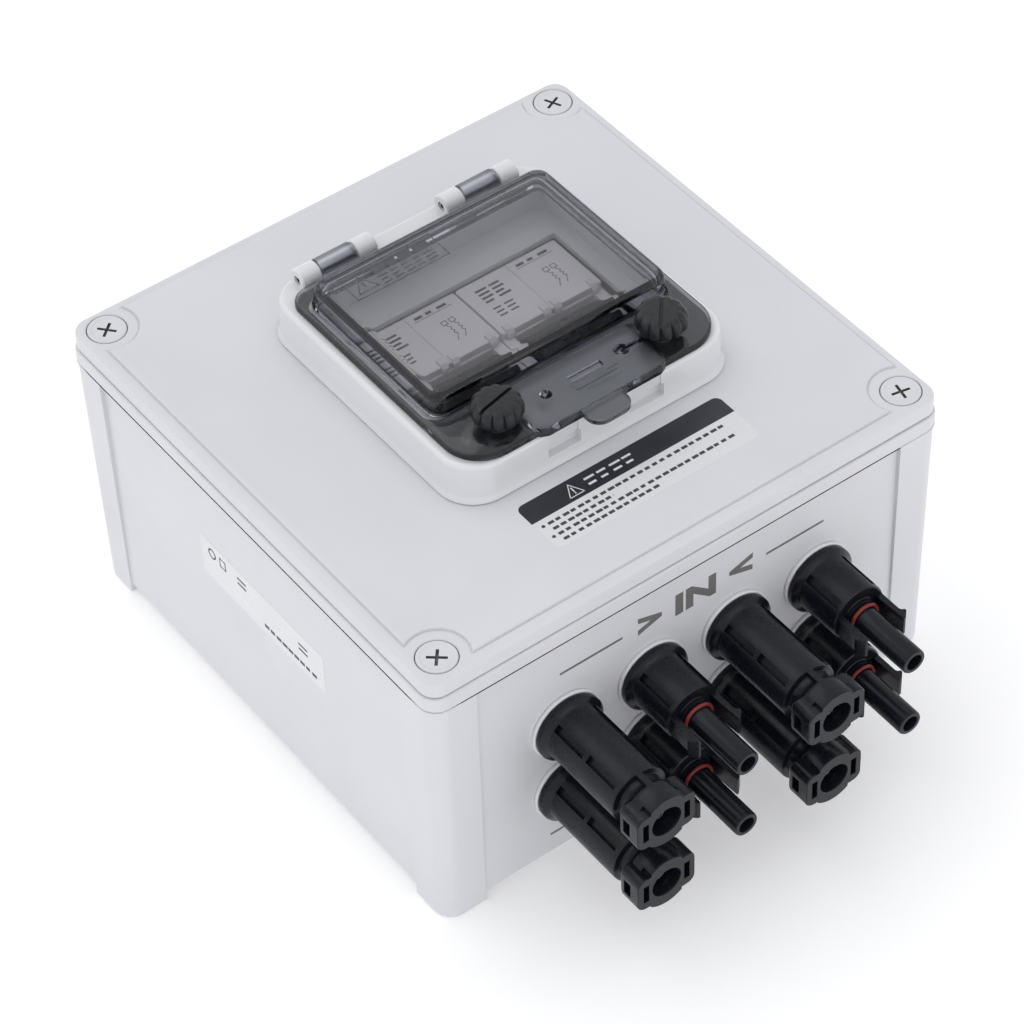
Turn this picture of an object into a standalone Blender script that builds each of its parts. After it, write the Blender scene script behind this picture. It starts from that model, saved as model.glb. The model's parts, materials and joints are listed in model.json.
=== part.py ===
"""A four-string DC combiner box: enclosure, windowed lid, two breakers and panel connectors.

Frame: metres. The box lies on its back on the XY plane with its feet at Z = 0, the centre of the
base at the origin and +Z out through the lid. The input connectors point along -Y, the output
connectors along +Y, and the window cover is hinged on its +Y side.
"""

from math import atan2, cos, pi, radians, sin, sqrt

import bmesh
import bpy
from mathutils import Matrix, Vector

MM = 0.001

# Enclosure
BOX_WIDTH = 175 * MM            # lid along X
BOX_DEPTH = 175 * MM            # lid along Y
BOX_HEIGHT = 100 * MM           # feet to the lid's raised panel
CORNER_RADIUS = 5 * MM
WALL = 2.5 * MM                 # side wall at its recessed panel
FLOOR = 3 * MM
FOOT_HEIGHT = 3 * MM
POST_WIDTH = 14.5 * MM          # face of a corner post
PANEL_RECESS = 1.1 * MM         # side panel's depth below the lid's edge
WALL_DRAFT = 0.8 * MM           # how far the posts lean in, rim to foot
RIM_HEIGHT = 5 * MM
RIM_PROUD = 0.6 * MM

# Lid
LID_SKIRT = 6.2 * MM
LID_TOP_THICKNESS = 2.8 * MM
LID_EDGE = 1.2 * MM             # rounding of the lid's upper edge
PANEL_STEP = 0.8 * MM           # raised centre panel
PANEL_INSET = 3.7 * MM
SCREW_INSET = 8 * MM            # lid screw axis from the lid's edges
SCREW_ARC = 9.8 * MM            # arc that the raised panel leaves round a lid screw
TOWER_RADIUS = 10.6 * MM        # screw tower inside the base
CAP_RADIUS = 5.7 * MM
CAP_HEIGHT = 1.5 * MM
SCREW_RADIUS = 2 * MM
SCREW_LENGTH = 22 * MM

# Lid gasket
GASKET_WIDTH = 1.6 * MM
GASKET_HEIGHT = 1.2 * MM
GASKET_LIP = 1 * MM             # wall left between the gasket and the base's cavity

# Window
WINDOW_X = 3.2 * MM             # window centre from the box centre
WELL_SIDE = 5.2 * MM            # well's edge beside the breakers
WELL_AHEAD = 2.2 * MM           # well's edge in front of the breakers' fronts
WELL_BEHIND = 12.5 * MM
BEZEL_SIDE = 7 * MM             # bezel beyond the well
BEZEL_AHEAD = 23.35 * MM
BEZEL_BEHIND = 14.45 * MM
BEZEL_HEIGHT = 13.2 * MM
BEZEL_RADIUS = 12 * MM
BEZEL_INSET = 2.6 * MM          # top edge in from the foot
BEZEL_FLARE = 2.5 * MM          # height of the flared foot
WELL_FLOOR = 5 * MM             # floor's upper face above the lid
WELL_FLOOR_THICKNESS = 2 * MM
WELL_RADIUS = 4 * MM
BEZEL_SHELL = 3 * MM            # wall left round the pockets under the bezel
SLOT_WIDTH = 11.5 * MM          # grip slots in the bezel's front
SLOT_HEIGHT = 4.5 * MM
SLOT_DEPTH = 2 * MM
SLOT_SPREAD = 14.2 * MM         # slot centre from the window's centre
SEAL_WIDTH = 1.6 * MM
SEAL_HEIGHT = 1 * MM
SEAL_OFFSET = 1 * MM            # seal's inner edge outside the well

# Window cover
COVER_SIDE = 3.35 * MM          # cover's flange beyond the well
COVER_AHEAD = 21.9 * MM
COVER_BEHIND = 5.2 * MM
COVER_RADIUS = 8 * MM
COVER_FLANGE = 2.1 * MM
DOME_AHEAD = 1.5 * MM           # dome's foot in front of the well; elsewhere it is flush
DOME_HEIGHT = 9.3 * MM          # above the flange's under face
DOME_WALL = 2 * MM
DOME_DRAFT = 0.6 * MM
DOME_RADIUS = 4 * MM
PLATE_WIDTH = 45 * MM           # raised latch plate
PLATE_SETBACK = 3 * MM          # from the dome's foot
PLATE_OVERHANG = 1.6 * MM       # past the flange's front edge
PLATE_RISE = 1.8 * MM           # above the flange
TAB_WIDTH = 14 * MM
TAB_REACH = 7 * MM
TAB_THICKNESS = 2.2 * MM

# Hinges
HINGE_SPREAD = 25 * MM          # hinge centre from the window's centre
HINGE_CLEARANCE = 0.5 * MM      # between the cover's back edge and the bezel's knuckles
HINGE_RISE = 1.7 * MM           # axis above the bezel's top
KNUCKLE_RADIUS = 3.5 * MM
COVER_KNUCKLE = 12 * MM         # length along the axis
BEZEL_KNUCKLE = 6.5 * MM
HINGE_PIN_RADIUS = 1.2 * MM
HINGE_GAP = 0.35 * MM

# Knobs
KNOB_SPREAD = 28.1 * MM
KNOB_SETBACK = 10.7 * MM        # knob axis from the dome's foot
KNOB_RADIUS = 7.5 * MM
KNOB_HEIGHT = 6.2 * MM
KNOB_FLUTES = 12
FLUTE_DEPTH = 0.7 * MM
COLLAR_RADIUS = 3.6 * MM
COLLAR_HEIGHT = 2 * MM
STUD_RADIUS = 2 * MM
STUD_GRIP = 3.5 * MM            # stud length held inside the knob
STUD_REACH = 5 * MM             # stud length inside the bezel's boss
BOSS_RADIUS = 4.5 * MM

# Breakers, handles and rail
RAIL_Y = 3.2 * MM
NOSE_RISE = 1.2 * MM            # breaker front above the lid
NOSE_HEIGHT = 45 * MM           # standard front, along Y
NOSE_OPENING_GAP = 0.7 * MM     # all round the noses in the well's floor
BREAKER_WIDTH = 35.4 * MM       # two poles
BREAKER_GAP = 0.4 * MM
BREAKER_LENGTH = 82 * MM        # along Y over the terminals
BREAKER_DEPTH = 66 * MM         # front to the rail's face
SHOULDER_DROP = 16 * MM
CLIP_DEPTH = 5 * MM             # breaker body behind the rail's face
TERMINAL_DROP = 29 * MM         # terminal axis below the front
TERMINAL_WIDTH = 10.2 * MM
TERMINAL_HEIGHT = 6.5 * MM
TERMINAL_DEPTH = 9 * MM
HANDLE_Y = -8.8 * MM            # handle axis from the rail's centre line
HANDLE_DROP = 5 * MM            # handle axis below the front
HANDLE_REACH = 12 * MM
HANDLE_THICKNESS = 5 * MM
HANDLE_WIDTH = 27.2 * MM
HANDLE_DRUM = 6 * MM
HANDLE_TILT = 28                # degrees either side of upright
HANDLE_SLOT = 15.6 * MM         # slot in the nose, along Y
RAIL_WIDTH = 35 * MM
RAIL_HAT = 27 * MM
RAIL_HEIGHT = 7.5 * MM
RAIL_THICKNESS = 1 * MM
RAIL_LENGTH = 100 * MM
RAIL_SCREW_SPREAD = 42 * MM
RAIL_SCREW_RADIUS = 1.7 * MM
RAIL_SCREW_HEAD = 3.6 * MM
RAIL_SCREW_LENGTH = 12 * MM
PILLAR_RADIUS = 5 * MM

# Busbars
BAR_THICKNESS = 1.5 * MM
BAR_HEIGHT = 5 * MM
BAR_STANDOFF = 1.8 * MM         # bar from the breaker's end face
BAR_DROP = 2.6 * MM             # strip edge from the terminal's axis
PIN_WIDTH = 3 * MM
PIN_REACH = 6 * MM              # pin length inside the terminal

# Panel connectors: distances along each connector's axis start at the wall's outer face
COLUMN_PITCH = 29.4 * MM
TOP_ROW = 54.3 * MM             # connector axes above the feet
LOW_ROW = 28.7 * MM
FLANGE_RADIUS = 10.9 * MM
FLANGE_THICKNESS = 3.3 * MM
BODY_RADIUS = 9.1 * MM
THREAD_RADIUS = 7.5 * MM
THREAD_REACH = 10.8 * MM        # thread past the wall's inner face
SOCKET_BODY = 32.9 * MM         # end of the slotted body
SOCKET_NECK = 39.4 * MM
SOCKET_LENGTH = 44.6 * MM
NECK_RADIUS = 7.1 * MM
HEAD_RADIUS = 8.3 * MM
EAR_WIDTH = 19.6 * MM
EAR_HEIGHT = 12.6 * MM
EAR_LENGTH = 7.7 * MM
SOCKET_BORE = 4.75 * MM
SOCKET_BORE_DEPTH = 14 * MM
LATCH_WINDOW_X = 6.9 * MM
LATCH_WINDOW_WIDTH = 1.7 * MM
LATCH_WINDOW_HEIGHT = 6.5 * MM
LATCH_WINDOW_DEPTH = 5 * MM
BODY_SLOT_LENGTH = 12.6 * MM
BODY_SLOT_WIDTH = 2.2 * MM
BODY_SLOT_DEPTH = 1 * MM
BODY_SLOT_START = 5 * MM
BODY_SLOT_PITCH = 13.8 * MM
PLUG_BODY = 19.2 * MM
PLUG_LENGTH = 42.6 * MM
BOSS_STEP = 1.7 * MM            # boss ahead of the plug's body, under the O-ring
PLUG_BOSS = 5.3 * MM
PLUG_TUBE = 3.95 * MM
PLUG_BORE = 2.5 * MM
PLUG_BORE_DEPTH = 12 * MM
ARM_INNER = 5.9 * MM
ARM_OUTER = 7.6 * MM
ARM_BARB = 8.8 * MM
ARM_END = 30.6 * MM
ARM_WIDTH = 6.4 * MM
ORING_SECTION = 0.65 * MM
NUT_FLATS = 21 * MM
NUT_HEIGHT = 4 * MM
LEAD_RADIUS = 2 * MM
LEAD_SOCKET_DEPTH = 5 * MM      # lead length inside the connector's tail
LEAD_SPREAD = 2.45 * MM         # leads side by side in one terminal
LEAD_SIDESTEP = 1.7             # how much sooner a lead moves sideways than up

# Clearances
GAP = 0.3 * MM                  # between faces that touch
RUN = 0.3 * MM                  # round a shaft in its hole

# Levels and places that follow from the sizes above
HALF_X = BOX_WIDTH / 2
HALF_Y = BOX_DEPTH / 2
LID_TOP = BOX_HEIGHT
LID_BORDER = LID_TOP - PANEL_STEP
LID_BOTTOM = LID_BORDER - LID_SKIRT
RIM_TOP = LID_BOTTOM - GAP
RIM_BOTTOM = RIM_TOP - RIM_HEIGHT
FLOOR_TOP = FOOT_HEIGHT + FLOOR
WALL_X = HALF_X - PANEL_RECESS              # outer face of the recessed side panels
WALL_Y = HALF_Y - PANEL_RECESS
CAVITY_X = WALL_X - WALL
CAVITY_Y = WALL_Y - WALL
SCREW_X = HALF_X - SCREW_INSET
SCREW_Y = HALF_Y - SCREW_INSET
BEZEL_FOOT = LID_TOP + GAP
BEZEL_TOP = LID_TOP + BEZEL_HEIGHT
BREAKER_PITCH = BREAKER_WIDTH + BREAKER_GAP
WELL_WIDTH = 2 * (BREAKER_PITCH + WELL_SIDE)
WELL_FRONT = RAIL_Y - NOSE_HEIGHT / 2 - WELL_AHEAD
WELL_BACK = RAIL_Y + NOSE_HEIGHT / 2 + WELL_BEHIND
BEZEL_WIDTH = WELL_WIDTH + 2 * BEZEL_SIDE
BEZEL_FRONT = WELL_FRONT - BEZEL_AHEAD
BEZEL_BACK = WELL_BACK + BEZEL_BEHIND
COVER_WIDTH = WELL_WIDTH + 2 * COVER_SIDE
COVER_FRONT = WELL_FRONT - COVER_AHEAD
COVER_BACK = WELL_BACK + COVER_BEHIND
DOME_FRONT = WELL_FRONT - DOME_AHEAD
PLATE_BACK = DOME_FRONT - PLATE_SETBACK
PLATE_FRONT = COVER_FRONT - PLATE_OVERHANG
HINGE_Y = COVER_BACK + HINGE_CLEARANCE + KNUCKLE_RADIUS
KNOB_Y = DOME_FRONT - KNOB_SETBACK
WELL_FLOOR_TOP = LID_TOP + WELL_FLOOR
FLANGE_BOTTOM = BEZEL_TOP + GAP
FLANGE_TOP = FLANGE_BOTTOM + COVER_FLANGE
PLATE_TOP = FLANGE_TOP + PLATE_RISE
DOME_TOP = FLANGE_BOTTOM + DOME_HEIGHT
HINGE_Z = BEZEL_TOP + HINGE_RISE
COLLAR_BOTTOM = FLANGE_TOP + GAP
KNOB_BOTTOM = COLLAR_BOTTOM + COLLAR_HEIGHT + GAP
NOSE_TOP = LID_TOP + NOSE_RISE
RAIL_TOP = NOSE_TOP - BREAKER_DEPTH
SHOULDER = NOSE_TOP - SHOULDER_DROP
TERMINAL_Z = NOSE_TOP - TERMINAL_DROP
BREAKER_FRONT = RAIL_Y - BREAKER_LENGTH / 2
BREAKER_BACK = RAIL_Y + BREAKER_LENGTH / 2
POLE_PITCH = BREAKER_WIDTH / 2
THREAD_END = -(WALL + THREAD_REACH)
ROUND = 12                                  # sides of a small round piece


# Outlines: lists of points, counter-clockwise

def mirrored(quarter):
    """Repeats a first-quadrant stretch of outline round all four quadrants."""
    back = quarter[::-1]
    return (quarter + [(-x, y) for x, y in back]
            + [(-x, -y) for x, y in quarter] + [(x, -y) for x, y in back])


def moved(outline, dx, dy):
    return [(x + dx, y + dy) for x, y in outline]


def rectangle(half_x, half_y, radius=0.0, steps=4):
    """A rectangle about the origin, with round corners where a radius is given."""
    if radius <= 0:
        return mirrored([(half_x, half_y)])
    angles = [pi / 2 * i / steps for i in range(steps + 1)]
    return mirrored([(half_x - radius + radius * cos(a), half_y - radius + radius * sin(a))
                     for a in angles])


def span(x0, x1, y0, y1, radius=0.0, steps=4):
    """A rectangle between two pairs of edges."""
    outline = rectangle((x1 - x0) / 2, (y1 - y0) / 2, radius, steps)
    return moved(outline, (x0 + x1) / 2, (y0 + y1) / 2)


def scooped(half_x, half_y, arc, steps=6):
    """A rectangle whose corners are scooped out round the lid screws."""
    start = atan2(-sqrt(arc ** 2 - (half_x - SCREW_X) ** 2), half_x - SCREW_X)
    end = atan2(half_y - SCREW_Y, -sqrt(arc ** 2 - (half_y - SCREW_Y) ** 2)) - 2 * pi
    angles = [start + (end - start) * i / steps for i in range(steps + 1)]
    return mirrored([(SCREW_X + arc * cos(a), SCREW_Y + arc * sin(a)) for a in angles])


def circle(radius, sides=ROUND):
    return [(radius * cos(2 * pi * i / sides), radius * sin(2 * pi * i / sides))
            for i in range(sides)]


def hole(radius, sides=ROUND):
    """A circle whose flats, not its corners, lie at the radius."""
    return circle(radius / cos(pi / sides), sides)


def hexagon(flats):
    """A hexagon with a point halfway along each side."""
    corner = flats / sqrt(3)
    return [((corner if i % 2 == 0 else flats / 2) * cos(pi * i / 6),
             (corner if i % 2 == 0 else flats / 2) * sin(pi * i / 6)) for i in range(12)]


def fluted(radius, depth, flutes):
    """A circle with shallow flutes round its edge."""
    points = 2 * flutes
    return [((radius - depth * (i % 2)) * cos(2 * pi * i / points),
             (radius - depth * (i % 2)) * sin(2 * pi * i / points)) for i in range(points)]


# Solids

def new_object(name, bm):
    bmesh.ops.recalc_face_normals(bm, faces=bm.faces)
    mesh = bpy.data.meshes.new(name)
    bm.to_mesh(mesh)
    bm.free()
    obj = bpy.data.objects.new(name, mesh)
    bpy.context.scene.collection.objects.link(obj)
    return obj


def loft(name, rings, ring_shaped=False):
    """Joins outlines, each at its own height, into one closed body.

    The first and last outline are capped, or joined to each other when the body is ring-shaped.
    """
    bm = bmesh.new()
    loops = [[bm.verts.new((x, y, z)) for x, y in outline] for outline, z in rings]
    pairs = list(zip(loops, loops[1:]))
    if ring_shaped:
        pairs.append((loops[-1], loops[0]))
    for lower, upper in pairs:
        for i in range(len(lower)):
            j = (i + 1) % len(lower)
            bm.faces.new((lower[i], lower[j], upper[j], upper[i]))
    if not ring_shaped:
        bm.faces.new(loops[0][::-1])
        bm.faces.new(loops[-1])
    return new_object(name, bm)


def prism(outline, low, high, axis="Z"):
    """Extrudes an outline along one axis; its points are the other two axes, in order."""
    tool = loft("tool", [(outline, low), (outline, high)])
    if axis == "X":
        tool.data.transform(Matrix(((0, 0, 1, 0), (1, 0, 0, 0), (0, 1, 0, 0), (0, 0, 0, 1))))
    if axis == "Y":
        tool.data.transform(Matrix(((1, 0, 0, 0), (0, 0, 1, 0), (0, 1, 0, 0), (0, 0, 0, 1))))
        tool.data.flip_normals()
    return tool


def block(x0, x1, y0, y1, z0, z1):
    return prism(span(x0, x1, y0, y1), z0, z1)


def drill(x, y, radius, low, high, sides=ROUND):
    return prism(moved(hole(radius, sides), x, y), low, high)


def placed(obj, matrix):
    """Applies a placement to the object's mesh."""
    obj.data.transform(matrix)
    return obj


def group(tools):
    """Joins tools that stay clear of each other into one cutter."""
    bm = bmesh.new()
    for tool in tools:
        bm.from_mesh(tool.data)
        discard(tool)
    return new_object("tools", bm)


def discard(obj):
    mesh = obj.data
    bpy.data.objects.remove(obj)
    bpy.data.meshes.remove(mesh)


def combine(target, tool, operation):
    """Applies a Boolean and removes the tool."""
    modifier = target.modifiers.new("Boolean", "BOOLEAN")
    modifier.operation = operation
    modifier.object = tool
    bpy.context.view_layer.update()
    depsgraph = bpy.context.evaluated_depsgraph_get()
    result = bpy.data.meshes.new_from_object(target.evaluated_get(depsgraph))
    target.modifiers.clear()
    old = target.data
    target.data = result
    bpy.data.meshes.remove(old)
    discard(tool)
    return target


def cut(target, tools):
    return combine(target, group(tools), "DIFFERENCE")


def add(target, tool):
    return combine(target, tool, "UNION")


def finish(obj, name, material, origin=(0, 0, 0)):
    """Names a piece, gives it its material and moves its origin without moving its shape."""
    obj.name = name
    obj.data.name = name
    obj.data.materials.clear()
    obj.data.materials.append(material)
    obj.data.transform(Matrix.Translation(-Vector(origin)))
    obj.location = origin
    obj.data.shade_smooth()
    obj.data.set_sharp_from_angle(angle=radians(35))
    return obj


def copy_to(obj, name, matrix):
    """A second piece with the same mesh, placed by its own location and rotation."""
    twin = bpy.data.objects.new(name, obj.data)
    twin.matrix_world = matrix
    bpy.context.scene.collection.objects.link(twin)
    return twin


def material(name, color, roughness, metallic=0.0):
    mat = bpy.data.materials.new(name)
    mat.use_nodes = True
    shader = mat.node_tree.nodes["Principled BSDF"]
    shader.inputs["Base Color"].default_value = (*color, 1.0)
    shader.inputs["Roughness"].default_value = roughness
    shader.inputs["Metallic"].default_value = metallic
    return mat


# Enclosure

def screw_places():
    return [(sx * SCREW_X, sy * SCREW_Y) for sx, sy in ((-1, -1), (1, -1), (1, 1), (-1, 1))]


def rail_screw_places():
    return [(WINDOW_X - RAIL_SCREW_SPREAD, RAIL_Y), (WINDOW_X + RAIL_SCREW_SPREAD, RAIL_Y)]


def connector_places():
    """Name stem, kind, x, z and side (-1 is the input wall) of every panel connector."""
    places = []
    for row, height in enumerate((TOP_ROW, LOW_ROW)):
        for column in range(4):
            kind = ("socket", "plug")[column % 2]
            number = 1 + column // 2 + 2 * row
            x = (column - 1.5) * COLUMN_PITCH
            places.append((f"input_{kind}_{number}", kind, x, height, -1))
    places.append(("output_socket", "socket", -COLUMN_PITCH / 2, LOW_ROW, 1))
    places.append(("output_plug", "plug", COLUMN_PITCH / 2, LOW_ROW, 1))
    return places


def gasket_groove():
    """Inner and outer outline sizes of the groove in the base's rim: half sizes and arcs."""
    inner = (CAVITY_X + GASKET_LIP - GAP, CAVITY_Y + GASKET_LIP - GAP,
             TOWER_RADIUS - GASKET_LIP + GAP)
    width = GASKET_WIDTH + 2 * GAP
    outer = (inner[0] + width, inner[1] + width, inner[2] - width)
    return inner, outer


def base_enclosure(plastic):
    rim_x = HALF_X + RIM_PROUD
    rim_y = HALF_Y + RIM_PROUD
    radius = CORNER_RADIUS + RIM_PROUD
    top_x = rim_x - PANEL_RECESS / 4
    top_y = rim_y - PANEL_RECESS / 4
    foot_x = top_x - WALL_DRAFT
    foot_y = top_y - WALL_DRAFT
    body = loft("base", [(rectangle(foot_x, foot_y, radius), 0),
                         (rectangle(top_x, top_y, radius), RIM_BOTTOM),
                         (rectangle(rim_x, rim_y, radius), RIM_BOTTOM),
                         (rectangle(rim_x, rim_y, radius), RIM_TOP)])
    cavity = prism(scooped(CAVITY_X, CAVITY_Y, TOWER_RADIUS), FLOOR_TOP, BOX_HEIGHT)
    cut(body, [cavity])

    reach = HALF_X + HALF_Y
    panel_x = HALF_X - POST_WIDTH
    panel_y = HALF_Y - POST_WIDTH
    side_cuts = [block(-panel_x, panel_x, WALL_Y, reach, -FLOOR, RIM_BOTTOM),
                 block(-panel_x, panel_x, -reach, -WALL_Y, -FLOOR, RIM_BOTTOM),
                 block(WALL_X, reach, -panel_y, panel_y, -FLOOR, RIM_BOTTOM),
                 block(-reach, -WALL_X, -panel_y, panel_y, -FLOOR, RIM_BOTTOM)]
    cut(body, side_cuts)
    cut(body, [block(-panel_x, panel_x, -reach, reach, -FLOOR, FOOT_HEIGHT)])
    cut(body, [block(-reach, reach, -panel_y, panel_y, -FLOOR, FOOT_HEIGHT)])

    inner, outer = gasket_groove()
    bottom = RIM_TOP - GASKET_HEIGHT - GAP
    groove = loft("groove", [(scooped(*inner), bottom), (scooped(*outer), bottom),
                             (scooped(*outer), BOX_HEIGHT), (scooped(*inner), BOX_HEIGHT)],
                  ring_shaped=True)
    cut(body, [groove])
    screw_end = RIM_TOP - SCREW_LENGTH - GAP
    cut(body, [drill(x, y, SCREW_RADIUS + RUN, screw_end, BOX_HEIGHT) for x, y in screw_places()])

    pillar_top = RAIL_TOP - RAIL_HEIGHT - GAP
    for x, y in rail_screw_places():
        add(body, prism(moved(circle(PILLAR_RADIUS), x, y), FLOOR_TOP - FLOOR / 2, pillar_top))
    hole_end = pillar_top - RAIL_SCREW_LENGTH
    cut(body, [drill(x, y, RAIL_SCREW_RADIUS + RUN, hole_end, RAIL_TOP)
               for x, y in rail_screw_places()])
    wall_holes = []
    for _, _, x, z, side in connector_places():
        outline = moved(hole(THREAD_RADIUS + RUN), x, z)
        ends = sorted((side * (CAVITY_Y - WALL), side * reach))
        wall_holes.append(prism(outline, ends[0], ends[1], "Y"))
    cut(body, wall_holes)
    return finish(body, "base_enclosure", plastic)


def lid_gasket(foam):
    inner, outer = gasket_groove()
    inside = scooped(inner[0] + GAP, inner[1] + GAP, inner[2] - GAP)
    outside = scooped(outer[0] - GAP, outer[1] - GAP, outer[2] + GAP)
    bottom = RIM_TOP - GASKET_HEIGHT
    ring = loft("gasket", [(inside, bottom), (outside, bottom), (outside, RIM_TOP),
                           (inside, RIM_TOP)], ring_shaped=True)
    return finish(ring, "lid_gasket", foam)


def lid(plastic):
    edge = rectangle(HALF_X, HALF_Y, CORNER_RADIUS)
    eased = rectangle(HALF_X - LID_EDGE / 3, HALF_Y - LID_EDGE / 3, CORNER_RADIUS - LID_EDGE / 3)
    flat = rectangle(HALF_X - LID_EDGE, HALF_Y - LID_EDGE, CORNER_RADIUS - LID_EDGE)
    body = loft("lid", [(edge, LID_BOTTOM), (edge, LID_BORDER - LID_EDGE),
                        (eased, LID_BORDER - LID_EDGE / 3), (flat, LID_BORDER)])
    panel = scooped(HALF_X - PANEL_INSET, HALF_Y - PANEL_INSET, SCREW_ARC)
    add(body, prism(panel, LID_BORDER - LID_TOP_THICKNESS / 2, LID_TOP))
    under = prism(scooped(CAVITY_X, CAVITY_Y, TOWER_RADIUS),
                  LID_BOTTOM - GAP, LID_BORDER - LID_TOP_THICKNESS)
    cut(body, [under])
    opening = span(WINDOW_X - WELL_WIDTH / 2, WINDOW_X + WELL_WIDTH / 2,
                   WELL_FRONT, WELL_BACK, WELL_RADIUS)
    cut(body, [prism(opening, LID_BOTTOM, LID_TOP + GAP)])
    seat = LID_BORDER - CAP_HEIGHT - GAP
    cut(body, [drill(x, y, CAP_RADIUS + RUN, seat, LID_TOP + GAP) for x, y in screw_places()])
    cut(body, [drill(x, y, SCREW_RADIUS + RUN, LID_BOTTOM - GAP, LID_TOP)
               for x, y in screw_places()])
    return finish(body, "lid", plastic)


def lid_screws(plastic):
    cap = circle(CAP_RADIUS)
    rounded = circle(CAP_RADIUS - CAP_HEIGHT / 4)
    shank = circle(SCREW_RADIUS)
    seat = LID_BORDER - CAP_HEIGHT
    screw = loft("screw", [(shank, RIM_TOP - SCREW_LENGTH), (shank, seat), (cap, seat),
                           (cap, LID_BORDER - CAP_HEIGHT / 4), (rounded, LID_BORDER)])
    arm = CAP_RADIUS * 0.6
    half = CAP_RADIUS * 0.13
    depth = CAP_HEIGHT * 0.6
    cut(screw, [block(-arm, arm, -half, half, LID_BORDER - depth, LID_TOP)])
    cut(screw, [block(-half, half, -arm, arm, LID_BORDER - depth, LID_TOP)])
    places = screw_places()
    first = finish(screw, "lid_screw_1", plastic)
    first.location = (*places[0], 0)
    for number, place in enumerate(places[1:], start=2):
        copy_to(first, f"lid_screw_{number}", Matrix.Translation((*place, 0)))


# Window

def hinge_places():
    return {"left": WINDOW_X - HINGE_SPREAD, "right": WINDOW_X + HINGE_SPREAD}


def knob_places():
    return WINDOW_X - KNOB_SPREAD, WINDOW_X + KNOB_SPREAD


def well(grow, radius_grow=0.0):
    """Outline of the window's well, larger by grow on every side."""
    return span(WINDOW_X - WELL_WIDTH / 2 - grow, WINDOW_X + WELL_WIDTH / 2 + grow,
                WELL_FRONT - grow, WELL_BACK + grow, WELL_RADIUS + radius_grow)


def knuckle(x0, x1):
    """A hinge knuckle round the hinge axis."""
    return prism(moved(circle(KNUCKLE_RADIUS), HINGE_Y, HINGE_Z), x0, x1, "X")


def hinge_bore():
    reach = COVER_KNUCKLE + 2 * BEZEL_KNUCKLE
    radius = HINGE_PIN_RADIUS + RUN
    return [prism(moved(hole(radius, 12), HINGE_Y, HINGE_Z), x - reach, x + reach, "X")
            for x in hinge_places().values()]


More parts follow.
